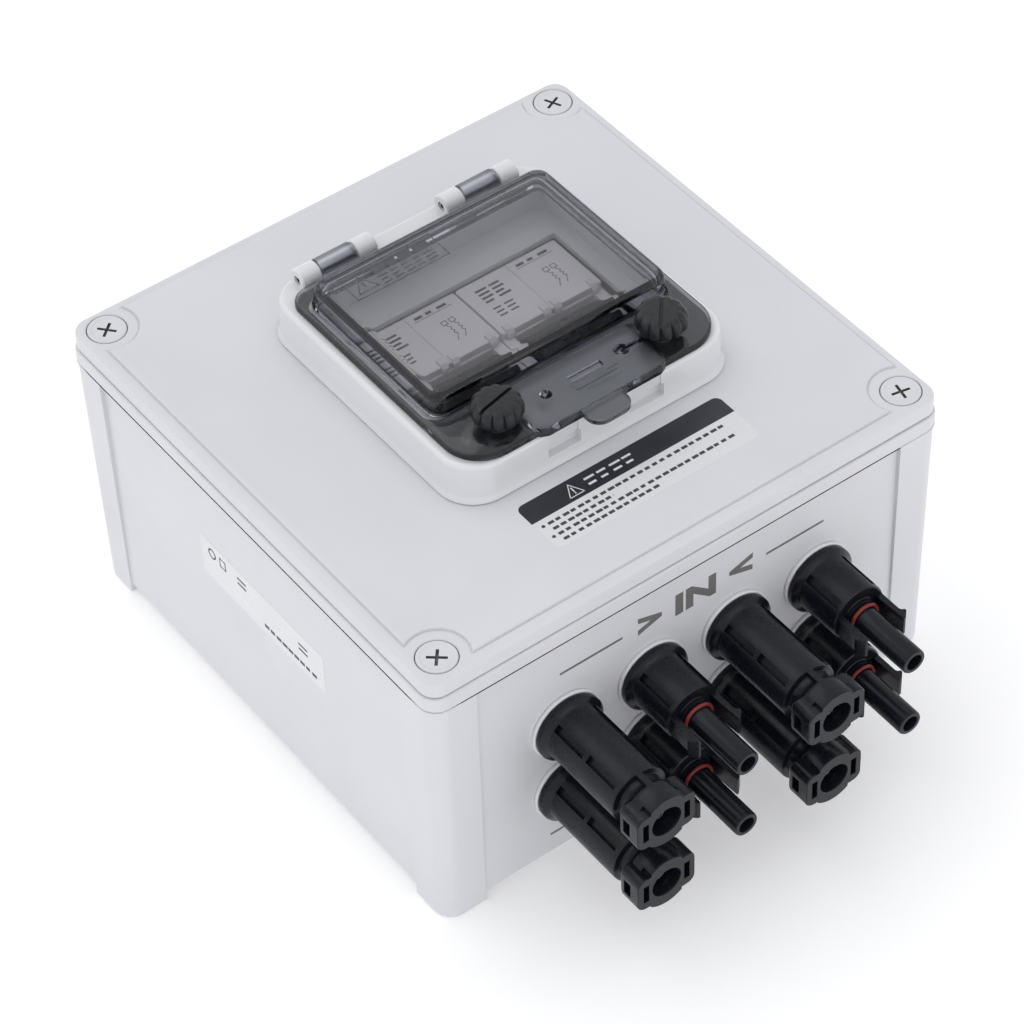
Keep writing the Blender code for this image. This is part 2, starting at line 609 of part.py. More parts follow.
def window_bezel(plastic):
    def outline(inset):
        half = BEZEL_WIDTH / 2 - inset
        return span(WINDOW_X - half, WINDOW_X + half, BEZEL_FRONT + inset, BEZEL_BACK - inset,
                    BEZEL_RADIUS - inset)
    edge = BEZEL_INSET / 3
    body = loft("bezel", [(outline(0), BEZEL_FOOT), (outline(edge), BEZEL_FOOT + BEZEL_FLARE),
                          (outline(2 * edge), BEZEL_TOP - edge), (outline(3 * edge), BEZEL_TOP)])
    cut(body, [prism(well(0), WELL_FLOOR_TOP, BEZEL_TOP + GAP)])
    cut(body, [prism(well(0), LID_BOTTOM, WELL_FLOOR_TOP - WELL_FLOOR_THICKNESS)])
    half_x = BREAKER_PITCH + NOSE_OPENING_GAP
    half_y = NOSE_HEIGHT / 2 + NOSE_OPENING_GAP
    cut(body, [block(WINDOW_X - half_x, WINDOW_X + half_x, RAIL_Y - half_y, RAIL_Y + half_y,
                     LID_BOTTOM, BEZEL_TOP)])

    pocket_x = WELL_WIDTH / 2 - BEZEL_SHELL
    roof = BEZEL_TOP - BEZEL_SHELL
    front = block(WINDOW_X - pocket_x, WINDOW_X + pocket_x, BEZEL_FRONT + BEZEL_SHELL + BEZEL_INSET,
                  WELL_FRONT - BEZEL_SHELL, LID_BOTTOM, roof)
    back = block(WINDOW_X - pocket_x, WINDOW_X + pocket_x, WELL_BACK + BEZEL_SHELL,
                 BEZEL_BACK - BEZEL_SHELL - BEZEL_INSET, LID_BOTTOM, roof)
    cut(body, [front, back])
    boss_bottom = FLANGE_BOTTOM - STUD_REACH - BEZEL_SHELL
    for x in knob_places():
        add(body, prism(moved(circle(BOSS_RADIUS), x, KNOB_Y), boss_bottom, BEZEL_TOP - GAP))
    cut(body, [drill(x, KNOB_Y, STUD_RADIUS + RUN, BEZEL_TOP - STUD_REACH - GAP, BEZEL_TOP + GAP)
               for x in knob_places()])

    groove = loft("groove", [(well(SEAL_OFFSET - GAP, SEAL_OFFSET), BEZEL_TOP - SEAL_HEIGHT - GAP),
                             (well(SEAL_OFFSET + SEAL_WIDTH + GAP, SEAL_OFFSET + SEAL_WIDTH),
                              BEZEL_TOP - SEAL_HEIGHT - GAP),
                             (well(SEAL_OFFSET + SEAL_WIDTH + GAP, SEAL_OFFSET + SEAL_WIDTH),
                              BEZEL_TOP + GAP),
                             (well(SEAL_OFFSET - GAP, SEAL_OFFSET), BEZEL_TOP + GAP)],
                  ring_shaped=True)
    cut(body, [groove])
    slot_z = LID_TOP + WELL_FLOOR
    front_face = BEZEL_FRONT + BEZEL_INSET * 2 / 3
    cut(body, [block(WINDOW_X + side * SLOT_SPREAD - SLOT_WIDTH / 2,
                     WINDOW_X + side * SLOT_SPREAD + SLOT_WIDTH / 2,
                     BEZEL_FRONT - SLOT_DEPTH, front_face + SLOT_DEPTH,
                     slot_z, slot_z + SLOT_HEIGHT) for side in (-1, 1)])

    half = COVER_KNUCKLE / 2
    notches = [block(x - half - HINGE_GAP, x + half + HINGE_GAP, COVER_BACK,
                     BEZEL_BACK + GAP, HINGE_Z - KNUCKLE_RADIUS - HINGE_GAP, BEZEL_TOP + GAP)
               for x in hinge_places().values()]
    cut(body, notches)
    for x in hinge_places().values():
        for side in (-1, 1):
            ends = sorted((x + side * (half + HINGE_GAP),
                           x + side * (half + HINGE_GAP + BEZEL_KNUCKLE)))
            add(body, knuckle(*ends))
    cut(body, hinge_bore())
    return finish(body, "window_bezel", plastic)


def window_seal(rubber):
    inside = well(SEAL_OFFSET, SEAL_OFFSET)
    outside = well(SEAL_OFFSET + SEAL_WIDTH, SEAL_OFFSET + SEAL_WIDTH)
    bottom = BEZEL_TOP - SEAL_HEIGHT
    ring = loft("seal", [(inside, bottom), (outside, bottom), (outside, BEZEL_TOP),
                         (inside, BEZEL_TOP)], ring_shaped=True)
    return finish(ring, "window_seal", rubber)


def window_cover(smoke):
    half = COVER_WIDTH / 2
    flange = span(WINDOW_X - half, WINDOW_X + half, COVER_FRONT, COVER_BACK, COVER_RADIUS)
    body = prism(flange, FLANGE_BOTTOM, FLANGE_TOP)

    def dome(inset, lean):
        gone = inset + lean
        return span(WINDOW_X - WELL_WIDTH / 2 + gone, WINDOW_X + WELL_WIDTH / 2 - gone,
                    DOME_FRONT + gone, WELL_BACK - gone, DOME_RADIUS - gone / 2)
    edge = DOME_WALL / 2
    shell = loft("dome", [(dome(0, 0), FLANGE_BOTTOM + COVER_FLANGE / 2),
                          (dome(0, DOME_DRAFT), DOME_TOP - edge),
                          (dome(edge / 3, DOME_DRAFT), DOME_TOP - edge / 3),
                          (dome(edge, DOME_DRAFT), DOME_TOP)])
    add(body, shell)
    plate = prism(span(WINDOW_X - PLATE_WIDTH / 2, WINDOW_X + PLATE_WIDTH / 2,
                       PLATE_FRONT, PLATE_BACK, PLATE_RISE, 2),
                  FLANGE_BOTTOM + GAP, PLATE_TOP)
    add(body, plate)
    tab_top = PLATE_TOP - GAP * 2
    tab = prism(span(WINDOW_X - TAB_WIDTH / 2, WINDOW_X + TAB_WIDTH / 2, PLATE_FRONT - TAB_REACH,
                     PLATE_FRONT + TAB_REACH, TAB_WIDTH / 3), tab_top - TAB_THICKNESS, tab_top)
    add(body, tab)
    cut(body, [loft("room", [(dome(DOME_WALL, 0), FLANGE_BOTTOM - GAP),
                             (dome(DOME_WALL, DOME_DRAFT), DOME_TOP - DOME_WALL)])])

    for x in hinge_places().values():
        low, high = x - COVER_KNUCKLE / 2, x + COVER_KNUCKLE / 2
        arm = block(low, high, COVER_BACK - COVER_FLANGE, HINGE_Y,
                    FLANGE_BOTTOM + GAP / 2, FLANGE_TOP + GAP)
        add(body, arm)
        add(body, knuckle(low, high))
    cut(body, hinge_bore())
    cut(body, [drill(x, KNOB_Y, STUD_RADIUS + RUN, BEZEL_TOP, PLATE_TOP) for x in knob_places()])

    hole_x = WINDOW_X - PLATE_WIDTH * 0.27
    key_x = WINDOW_X + PLATE_WIDTH * 0.33
    key_y = KNOB_Y + PLATE_RISE
    eye = PLATE_RISE * 1.2
    bores = [drill(hole_x, KNOB_Y, eye * 0.75, BEZEL_TOP, LID_TOP + BOX_HEIGHT, 12),
             drill(key_x, key_y, eye, BEZEL_TOP, LID_TOP + BOX_HEIGHT, 12)]
    cut(body, bores)
    cut(body, [block(key_x, key_x + 2.6 * eye, key_y - eye / 2, key_y + eye / 2,
                     BEZEL_TOP, LID_TOP + BOX_HEIGHT)])
    return finish(body, "window_cover", smoke, (0, HINGE_Y, HINGE_Z))


def hinge_pins(steel):
    half = COVER_KNUCKLE / 2 + HINGE_GAP + BEZEL_KNUCKLE - GAP
    for side, x in hinge_places().items():
        pin = prism(moved(circle(HINGE_PIN_RADIUS, 12), HINGE_Y, HINGE_Z), x - half, x + half, "X")
        finish(pin, f"hinge_pin_{side}", steel, (x, HINGE_Y, HINGE_Z))


def knobs(plastic, steel):
    rim = fluted(KNOB_RADIUS, FLUTE_DEPTH, KNOB_FLUTES)
    waist = circle(KNOB_RADIUS * 0.82, 2 * KNOB_FLUTES)
    crown = circle(KNOB_RADIUS * 0.88, 2 * KNOB_FLUTES)
    bore = hole(STUD_RADIUS + RUN, 2 * KNOB_FLUTES)
    top = KNOB_BOTTOM + KNOB_HEIGHT
    head = loft("knob", [(bore, KNOB_BOTTOM + STUD_GRIP + GAP), (bore, KNOB_BOTTOM),
                         (waist, KNOB_BOTTOM), (rim, KNOB_BOTTOM + KNOB_HEIGHT * 0.2),
                         (rim, top - KNOB_HEIGHT * 0.16), (crown, top)])
    slot = KNOB_RADIUS * 0.1
    cut(head, [block(-KNOB_RADIUS, KNOB_RADIUS, -slot, slot, top - KNOB_HEIGHT * 0.16, top + GAP)])
    shank = circle(STUD_RADIUS)
    collar = circle(COLLAR_RADIUS)
    collar_top = COLLAR_BOTTOM + COLLAR_HEIGHT
    stud = loft("stud", [(shank, BEZEL_TOP - STUD_REACH), (shank, COLLAR_BOTTOM),
                         (collar, COLLAR_BOTTOM), (collar, collar_top), (shank, collar_top),
                         (shank, KNOB_BOTTOM + STUD_GRIP)])
    left, right = knob_places()
    head = finish(head, "knob_left", plastic)
    head.location = (left, KNOB_Y, 0)
    copy_to(head, "knob_right", Matrix.Translation((right, KNOB_Y, 0)))
    stud = finish(stud, "knob_stud_left", steel)
    stud.location = (left, KNOB_Y, 0)
    copy_to(stud, "knob_stud_right", Matrix.Translation((right, KNOB_Y, 0)))


# Breakers and rail

def breaker_places():
    return {"left": WINDOW_X - BREAKER_PITCH / 2, "right": WINDOW_X + BREAKER_PITCH / 2}


def pole_places():
    return [x + side * POLE_PITCH / 2 for x in breaker_places().values() for side in (-1, 1)]


def breakers(plastic, handle_plastic):
    half = BREAKER_LENGTH / 2
    nose = NOSE_HEIGHT / 2
    back = RAIL_TOP - CLIP_DEPTH
    notch = RAIL_WIDTH / 2 + GAP
    right_side = [(notch, RAIL_TOP + GAP), (notch, back), (half, back), (half, SHOULDER),
                  (nose, SHOULDER), (nose, NOSE_TOP)]
    profile = right_side + [(-y, z) for y, z in right_side[::-1]]
    body = prism(moved(profile, RAIL_Y, 0), -BREAKER_WIDTH / 2, BREAKER_WIDTH / 2, "X")
    handle_y = RAIL_Y + HANDLE_Y
    slot_half = HANDLE_WIDTH / 2 + 2 * GAP
    slots = [block(-slot_half, slot_half, handle_y - HANDLE_SLOT / 2, handle_y + HANDLE_SLOT / 2,
                   NOSE_TOP - HANDLE_DROP - HANDLE_DRUM - 2 * GAP, NOSE_TOP + GAP)]
    for x in (-POLE_PITCH / 2, POLE_PITCH / 2):
        low, high = TERMINAL_Z - TERMINAL_HEIGHT / 2, TERMINAL_Z + TERMINAL_HEIGHT / 2
        x0, x1 = x - TERMINAL_WIDTH / 2, x + TERMINAL_WIDTH / 2
        slots.append(block(x0, x1, BREAKER_FRONT - GAP, BREAKER_FRONT + TERMINAL_DEPTH, low, high))
        slots.append(block(x0, x1, BREAKER_BACK - TERMINAL_DEPTH, BREAKER_BACK + GAP, low, high))
    cut(body, slots)

    tilt = radians(HANDLE_TILT)
    grip = HANDLE_THICKNESS / 2
    handle_z = NOSE_TOP - HANDLE_DROP
    drum = prism(circle(HANDLE_DRUM, 12), -HANDLE_WIDTH / 2, HANDLE_WIDTH / 2, "X")
    paddle = prism([(-grip, 0), (grip, 0), (grip * 0.7, HANDLE_REACH), (-grip * 0.7, HANDLE_REACH)],
                   -HANDLE_WIDTH / 2 + GAP, HANDLE_WIDTH / 2 - GAP, "X")
    placed(paddle, Matrix.Rotation(tilt, 4, "X"))
    handle = add(drum, paddle)

    left, right = breaker_places().values()
    body = finish(body, "breaker_left", plastic)
    body.location = (left, 0, 0)
    copy_to(body, "breaker_right", Matrix.Translation((right, 0, 0)))
    handle = finish(handle, "breaker_handle_left", handle_plastic)
    handle.location = (left, handle_y, handle_z)
    copy_to(handle, "breaker_handle_right", Matrix.Translation((right, handle_y, handle_z)))


def din_rail(steel):
    flange = RAIL_WIDTH / 2
    hat = RAIL_HAT / 2
    low = RAIL_TOP - RAIL_HEIGHT
    under = RAIL_TOP - RAIL_THICKNESS
    inner = hat - RAIL_THICKNESS
    right_side = [(hat, low), (hat, under), (flange, under), (flange, RAIL_TOP),
                  (inner, RAIL_TOP), (inner, low + RAIL_THICKNESS)]
    profile = right_side + [(-y, z) for y, z in right_side[::-1]]
    ends = (WINDOW_X - RAIL_LENGTH / 2, WINDOW_X + RAIL_LENGTH / 2)
    rail = prism(moved(profile, RAIL_Y, 0), *ends, "X")
    cut(rail, [drill(x, y, RAIL_SCREW_RADIUS + RUN, low - GAP, RAIL_TOP)
               for x, y in rail_screw_places()])
    return finish(rail, "din_rail", steel)


def rail_screws(steel):
    seat = RAIL_TOP - RAIL_HEIGHT + RAIL_THICKNESS + GAP
    shank = circle(RAIL_SCREW_RADIUS, 12)
    head = circle(RAIL_SCREW_HEAD, 12)
    top = seat + RAIL_SCREW_RADIUS * 1.4
    bottom = seat - RAIL_SCREW_LENGTH
    screw = loft("screw", [(shank, bottom), (shank, seat), (head, seat),
                           (head, top - RAIL_SCREW_RADIUS / 2),
                           (circle(RAIL_SCREW_HEAD * 0.7, 12), top)])
    places = rail_screw_places()
    first = finish(screw, "rail_screw_left", steel)
    first.location = (*places[0], 0)
    copy_to(first, "rail_screw_right", Matrix.Translation((*places[1], 0)))


def busbars(copper):
    """Two bars across the outgoing terminals; the positive strip runs above, the negative below."""
    poles = pole_places()
    y0 = BREAKER_BACK + BAR_STANDOFF
    y1 = y0 + BAR_THICKNESS
    half = PIN_WIDTH / 2
    for name, ends, side in (("positive", (poles[0], poles[2]), 1),
                             ("negative", (poles[1], poles[3]), -1)):
        near = TERMINAL_Z + side * BAR_DROP
        far = near + side * BAR_HEIGHT
        low, high = sorted((near, far))
        pins = [x - LEAD_SPREAD for x in ends]
        bar = block(pins[0] - half, pins[1] + half, y0, y1, low, high)
        pin_low, pin_high = TERMINAL_Z - BAR_THICKNESS / 2, TERMINAL_Z + BAR_THICKNESS / 2
        tab_low, tab_high = (pin_low, near + MM) if side > 0 else (near - MM, pin_high)
        for x in pins:
            add(bar, block(x - half, x + half, y0, y1, tab_low, tab_high))
            add(bar, block(x - half, x + half, BREAKER_BACK - PIN_REACH, y0 + BAR_THICKNESS / 2,
                           pin_low, pin_high))
        finish(bar, f"busbar_{name}", copper)


# Panel connectors, built pointing up +Z from the wall's outer face

def tail(flange_front):
    """Rings of the part that every connector shares, from its lead socket to its body."""
    bore = hole(LEAD_RADIUS + RUN)
    thread = circle(THREAD_RADIUS)
    flange = circle(FLANGE_RADIUS)
    body = circle(BODY_RADIUS)
    return [(bore, THREAD_END + LEAD_SOCKET_DEPTH), (bore, THREAD_END), (thread, THREAD_END),
            (thread, GAP), (flange, GAP), (flange, flange_front),
            (body, flange_front + (FLANGE_RADIUS - BODY_RADIUS) / 2)]


def body_slots(count):
    """Shallow slots along the body, in four rows."""
    slots = []
    floor = BODY_RADIUS - BODY_SLOT_DEPTH
    for i in range(count):
        start = BODY_SLOT_START + i * BODY_SLOT_PITCH
        for turn in range(4):
            slot = block(floor, FLANGE_RADIUS, -BODY_SLOT_WIDTH / 2, BODY_SLOT_WIDTH / 2,
                         start, start + BODY_SLOT_LENGTH)
            slots.append(placed(slot, Matrix.Rotation(pi / 4 + turn * pi / 2, 4, "Z")))
    return slots


def socket_connector(plastic):
    body = loft("socket", tail(FLANGE_THICKNESS)
                + [(circle(BODY_RADIUS), SOCKET_BODY), (circle(NECK_RADIUS), SOCKET_BODY),
                   (circle(NECK_RADIUS), SOCKET_NECK), (circle(HEAD_RADIUS), SOCKET_NECK),
                   (circle(HEAD_RADIUS), SOCKET_LENGTH)])
    ears = prism(rectangle(EAR_WIDTH / 2, EAR_HEIGHT / 2), SOCKET_LENGTH - EAR_LENGTH,
                 SOCKET_LENGTH - GAP / 10)
    add(body, ears)
    cut(body, body_slots(2))
    top = SOCKET_LENGTH + GAP
    windows = [block(x - LATCH_WINDOW_WIDTH / 2, x + LATCH_WINDOW_WIDTH / 2,
                     -LATCH_WINDOW_HEIGHT / 2, LATCH_WINDOW_HEIGHT / 2,
                     SOCKET_LENGTH - LATCH_WINDOW_DEPTH, top)
               for x in (-LATCH_WINDOW_X, LATCH_WINDOW_X)]
    cut(body, windows + [drill(0, 0, SOCKET_BORE, SOCKET_LENGTH - SOCKET_BORE_DEPTH, top)])
    return finish(body, "socket_connector", plastic)


def latch_arm(side):
    """A springy arm beside the plug, with a barb at its end."""
    outline = [(ARM_INNER, PLUG_BODY - ARM_INNER / 2), (ARM_OUTER, PLUG_BODY - ARM_INNER / 2),
               (ARM_OUTER, ARM_END - 3.2 * MM), (ARM_BARB, ARM_END - 3 * MM),
               (ARM_BARB, ARM_END - 2 * MM), (ARM_INNER + 1.1 * MM, ARM_END), (ARM_INNER, ARM_END)]
    if side < 0:
        outline = [(-x, z) for x, z in outline[::-1]]
    return prism(outline, -ARM_WIDTH / 2, ARM_WIDTH / 2, "Y")


def plug_connector(plastic):
    boss_end = PLUG_BODY + BOSS_STEP
    bore = hole(PLUG_BORE)
    body = loft("plug", tail(FLANGE_THICKNESS)
                + [(circle(BODY_RADIUS), PLUG_BODY), (circle(PLUG_BOSS), PLUG_BODY),
                   (circle(PLUG_BOSS), boss_end), (circle(PLUG_TUBE), boss_end),
                   (circle(PLUG_TUBE), PLUG_LENGTH), (bore, PLUG_LENGTH),
                   (bore, PLUG_LENGTH - PLUG_BORE_DEPTH)])
    cut(body, body_slots(1))
    for side in (-1, 1):
        add(body, latch_arm(side))
    return finish(body, "plug_connector", plastic)


def plug_oring(rubber):
    middle = PLUG_TUBE + GAP + ORING_SECTION
    height = PLUG_BODY + BOSS_STEP + GAP + ORING_SECTION
    section = [2 * pi * i / 6 for i in range(6)]
    rings = [(hole(middle + ORING_SECTION * cos(a)), height + ORING_SECTION * sin(a))
             for a in section]
    return finish(loft("oring", rings, ring_shaped=True), "plug_oring", rubber)


def lock_nut(plastic):
    low = -(WALL + GAP + NUT_HEIGHT)
    high = -(WALL + GAP)
    bore = hole(THREAD_RADIUS + RUN, 12)
    rings = [(hexagon(NUT_FLATS), low), (hexagon(NUT_FLATS), high), (bore, high), (bore, low)]
    return finish(loft("nut", rings, ring_shaped=True), "lock_nut", plastic)


def smooth_step(t):
    """A smooth step from 0 to 1."""
    return t * t * (3 - 2 * t)


def lead(name, start, end, insulation):
    """An insulated lead that leaves both ends straight along Y."""
    curve = bpy.data.curves.new(name, "CURVE")
    curve.dimensions = "3D"
    curve.bevel_depth = LEAD_RADIUS
    curve.bevel_resolution = 2
    curve.use_fill_caps = True
    steps = 9
    spline = curve.splines.new("POLY")
    spline.points.add(steps + 2)
    forward = 1 if end[1] > start[1] else -1
    first = Vector(start) + Vector((0, forward * LEAD_SOCKET_DEPTH * 0.9, 0))
    last = Vector(end) - Vector((0, forward * LEAD_SOCKET_DEPTH * 1.6, 0))
    route = [Vector(start)]
    for i in range(steps + 1):
        t = i / steps
        route.append(Vector((first.x + (last.x - first.x) * smooth_step(min(1, t * LEAD_SIDESTEP)),
                             first.y + (last.y - first.y) * t,
                             first.z + (last.z - first.z) * smooth_step(t))))
    route.append(Vector(end))
    for point, place in zip(spline.points, route):
        point.co = (*place, 1)
    obj = bpy.data.objects.new(name, curve)
    bpy.context.scene.collection.objects.link(obj)
    curve.materials.append(insulation)


def terminal_for(stem, x, z, side):
    """Where a connector's lead ends: one side of the terminal of the pole it feeds."""
    poles = pole_places()
    if side > 0:
        pole = poles[0] if x < 0 else poles[3]
        return pole + LEAD_SPREAD, BREAKER_BACK - PIN_REACH, TERMINAL_Z
    column = round(x / COLUMN_PITCH + 1.5)
    shift = -LEAD_SPREAD if z == TOP_ROW else LEAD_SPREAD
    return poles[column] + shift, BREAKER_FRONT + PIN_REACH, TERMINAL_Z


def connectors(mats):
    masters = {"socket": socket_connector(mats["connector"]),
               "plug": plug_connector(mats["connector"]),
               "oring": plug_oring(mats["oring"]),
               "nut": lock_nut(mats["connector"])}
    for stem, kind, x, z, side in connector_places():
        turn = Matrix.Rotation(0 if side < 0 else pi, 4, "Z") @ Matrix.Rotation(pi / 2, 4, "X")
        place = Matrix.Translation((x, side * WALL_Y, z)) @ turn
        copy_to(masters[kind], stem, place)
        copy_to(masters["nut"], f"{stem}_nut", place)
        if kind == "plug":
            copy_to(masters["oring"], stem.replace("plug", "oring"), place)
        tail_end = WALL_Y + THREAD_END
        start = (x, side * (tail_end + LEAD_SOCKET_DEPTH * 0.8), z)
        insulation = mats["red_lead"] if kind == "socket" else mats["black_lead"]
        lead(f"{stem}_lead", start, terminal_for(stem, x, z, side), insulation)
    for master in masters.values():
        bpy.data.objects.remove(master)


def main():
    for obj in list(bpy.data.objects):
        bpy.data.objects.remove(obj)
    mats = {
        "shell": material("grey_shell", (0.70, 0.70, 0.73), 0.45),
        "bezel": material("white_gloss", (0.80, 0.81, 0.83), 0.2),
        "smoke": material("smoke_window", (0.16, 0.17, 0.19), 0.08),
        "knob": material("charcoal_knob", (0.035, 0.036, 0.042), 0.4),
        "steel": material("zinc_steel", (0.62, 0.62, 0.63), 0.32, 1.0),
        "copper": material("tinned_copper", (0.72, 0.52, 0.38), 0.3, 1.0),
        "breaker": material("breaker_shell", (0.62, 0.59, 0.61), 0.5),
        "handle": material("black_handle", (0.02, 0.02, 0.024), 0.35),
        "connector": material("black_connector", (0.018, 0.019, 0.022), 0.38),
        "oring": material("red_oring", (0.55, 0.05, 0.04), 0.45),
        "gasket": material("grey_gasket", (0.12, 0.12, 0.13), 0.8),
        "red_lead": material("red_lead", (0.5, 0.03, 0.03), 0.5),
        "black_lead": material("black_lead", (0.02, 0.02, 0.02), 0.5),
    }
    base_enclosure(mats["shell"])
    lid_gasket(mats["gasket"])
    lid(mats["shell"])
    lid_screws(mats["shell"])
    window_bezel(mats["bezel"])
    window_seal(mats["gasket"])
    window_cover(mats["smoke"])
    hinge_pins(mats["steel"])
    knobs(mats["knob"], mats["steel"])
    din_rail(mats["steel"])
    rail_screws(mats["steel"])
    breakers(mats["breaker"], mats["handle"])
    busbars(mats["copper"])
    connectors(mats)


main()
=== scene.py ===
# %% [markdown]
# # A DC combiner box for solar panels
# The box lies on its back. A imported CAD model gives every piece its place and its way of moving.
# This notebook gives each piece its finished shape and surface, one step at a time.
# Pieces are drawn in millimetres, which are easy to think in, and are shrunk to metres when they
# are finished.

# %% Load the frame
import json
from math import atan2, cos, pi, radians, sin, sqrt

import bmesh
import bpy
from mathutils import Matrix, Vector

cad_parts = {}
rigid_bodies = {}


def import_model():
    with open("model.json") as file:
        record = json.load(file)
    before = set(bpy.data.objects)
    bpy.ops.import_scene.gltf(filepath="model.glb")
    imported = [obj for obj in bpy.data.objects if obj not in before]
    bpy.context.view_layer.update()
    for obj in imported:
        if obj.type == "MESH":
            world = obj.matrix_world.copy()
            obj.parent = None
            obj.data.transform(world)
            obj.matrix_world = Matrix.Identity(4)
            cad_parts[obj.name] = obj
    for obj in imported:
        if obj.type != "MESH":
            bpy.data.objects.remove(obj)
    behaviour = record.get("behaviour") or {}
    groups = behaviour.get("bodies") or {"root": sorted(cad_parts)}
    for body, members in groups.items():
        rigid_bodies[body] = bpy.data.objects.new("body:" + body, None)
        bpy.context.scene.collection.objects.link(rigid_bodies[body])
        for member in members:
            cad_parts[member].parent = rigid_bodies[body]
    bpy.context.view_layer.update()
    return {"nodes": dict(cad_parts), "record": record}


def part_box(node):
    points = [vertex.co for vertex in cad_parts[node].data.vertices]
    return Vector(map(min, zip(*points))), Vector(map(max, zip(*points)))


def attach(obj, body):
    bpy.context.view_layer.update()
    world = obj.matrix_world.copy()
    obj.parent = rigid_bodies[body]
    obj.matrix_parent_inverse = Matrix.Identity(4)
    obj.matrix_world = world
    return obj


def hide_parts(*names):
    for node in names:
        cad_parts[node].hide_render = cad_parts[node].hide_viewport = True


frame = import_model()
record = frame["record"]
body_of = {node: body for body, nodes in record["behaviour"]["bodies"].items() for node in nodes}

# %% [markdown]
# ## Camera
# A long lens from high on the left shows the lid, the input wall and one side at once.
# A camera looks along its own -Z, so its three directions are written as the columns of a matrix.

# %% Place the camera
forward = Vector((0.40005, 0.56869, -0.71871)).normalized()
level = Vector((0.8179, -0.57536, 0)).normalized()
upright = level.cross(forward)
tilt = radians(-2.425)
right = level * cos(tilt) + upright * sin(tilt)
up = upright * cos(tilt) - level * sin(tilt)
lens = bpy.data.cameras.new("Camera")
lens.lens = 135.25
lens.sensor_width = 36
lens.clip_start = 0.05
camera = bpy.data.objects.new("Camera", lens)
bpy.context.scene.collection.objects.link(camera)
rotation = Matrix((right, up, -forward)).transposed().to_4x4()
camera.matrix_world = Matrix.Translation((-0.4473, -0.6391, 0.8438)) @ rotation
bpy.context.scene.camera = camera
print("camera looks along", tuple(round(v, 3) for v in forward))

# %% [markdown]
# ## Light and floor
# Product pictures are lit by large soft boxes all round, so shadows are faint and white plastic
# keeps its shape only through slow changes of brightness. An even sky does most of that here.
# One wide lamp above and behind makes the lid brighter than the wall with the connectors.

# %% Soft studio
world = bpy.data.worlds.new("Studio")
world.use_nodes = True
world.node_tree.nodes["Background"].inputs["Color"].default_value = (0.985, 0.99, 1.0, 1)
world.node_tree.nodes["Background"].inputs["Strength"].default_value = 0.86
bpy.context.scene.world = world
bpy.context.scene.view_settings.view_transform = "Standard"


def soft_box(name, place, target, size, power):
    lamp = bpy.data.lights.new(name, "AREA")
    lamp.shape = "RECTANGLE"
    lamp.size, lamp.size_y = size
    lamp.energy = power
    holder = bpy.data.objects.new(name, lamp)
    holder.location = place
    holder.rotation_euler = (Vector(target) - Vector(place)).to_track_quat("-Z", "Y").to_euler()
    bpy.context.scene.collection.objects.link(holder)


soft_box("Top box", (-0.35, 0.55, 1.25), (0, 0, 0.08), (1.2, 0.9), 2.6)
soft_box("Left box", (-1.3, 0.1, 0.5), (0, 0, 0.06), (0.9, 0.7), 0.3)
soft_box("Front box", (0.15, -1.4, 0.55), (0, 0, 0.05), (1.0, 0.7), 1.5)
print("three soft boxes and an even sky")

# %% [markdown]
# The floor is one large square a little below the feet. It glows faintly, as a well lit paper
# sweep does, so it stays nearly white around soft shadows.

# %% Pale floor
floor_mesh = bpy.data.meshes.new("floor")
edge, depth = 6.0, -0.0003
floor_mesh.from_pydata([(-edge, -edge, depth), (edge, -edge, depth), (edge, edge, depth),
                        (-edge, edge, depth)], [], [(0, 1, 2, 3)])
floor = bpy.data.objects.new("floor", floor_mesh)
bpy.context.scene.collection.objects.link(floor)
floor_finish = bpy.data.materials.new("pale_floor")
floor_finish.use_nodes = True
floor_shader = floor_finish.node_tree.nodes["Principled BSDF"]
for key, value in (("Base Color", (0.92, 0.92, 0.925, 1)), ("Emission Color", (1, 1, 1, 1)),
                   ("Emission Strength", 0.22), ("Roughness", 0.9), ("Specular IOR Level", 0.1)):
    floor_shader.inputs[key].default_value = value
floor.data.materials.append(floor_finish)
print("floor", 2 * edge, "m wide")

# %% [markdown]
# ## Shader node groups
# Several finishes share the same small effects. Each effect is a node group with named inputs, so
# that it is built once and tuned in each material. A group only puts out masks, values and
# heights. The shader itself stays in the material, where it is easy to find.

# %% Helpers for wiring nodes
KINDS = {int: "NodeSocketInt", float: "NodeSocketFloat", tuple: "NodeSocketVector"}


def add_inputs(tree, values):
    """Gives a tree one named input for each value. The value's type sets the socket's."""
    for label, value in values.items():
        socket = tree.interface.new_socket(label, in_out="INPUT", socket_type=KINDS[type(value)])
        socket.default_value = value


def new_group(name, inputs, outputs):
    """A shader group with its named inputs and outputs."""
    tree = bpy.data.node_groups.new(name, "ShaderNodeTree")
    add_inputs(tree, inputs)
    for label in outputs:
        tree.interface.new_socket(label, in_out="OUTPUT", socket_type="NodeSocketFloat")
    return tree, tree.nodes.new("NodeGroupInput").outputs, tree.nodes.new("NodeGroupOutput").inputs


def feed(tree, socket, value):
    """Links an input to another node's output, or sets it to a plain value."""
    if isinstance(value, bpy.types.NodeSocket):
        tree.links.new(value, socket)
    else:
        socket.default_value = value


def add_node(tree, kind, inputs=None, **settings):
    """Adds a node with its settings, and feeds its inputs."""
    node = tree.nodes.new(kind)
    for key, value in settings.items():
        setattr(node, key, value)
    for key, value in (inputs or {}).items():
        feed(tree, node.inputs[key], value)
    return node


def remap(tree, value, low, high, start=0.0, end=1.0):
    """Stretches the span from start to end over the span from low to high."""
    return add_node(tree, "ShaderNodeMapRange",
                    {0: value, 1: start, 2: end, 3: low, 4: high}).outputs[0]


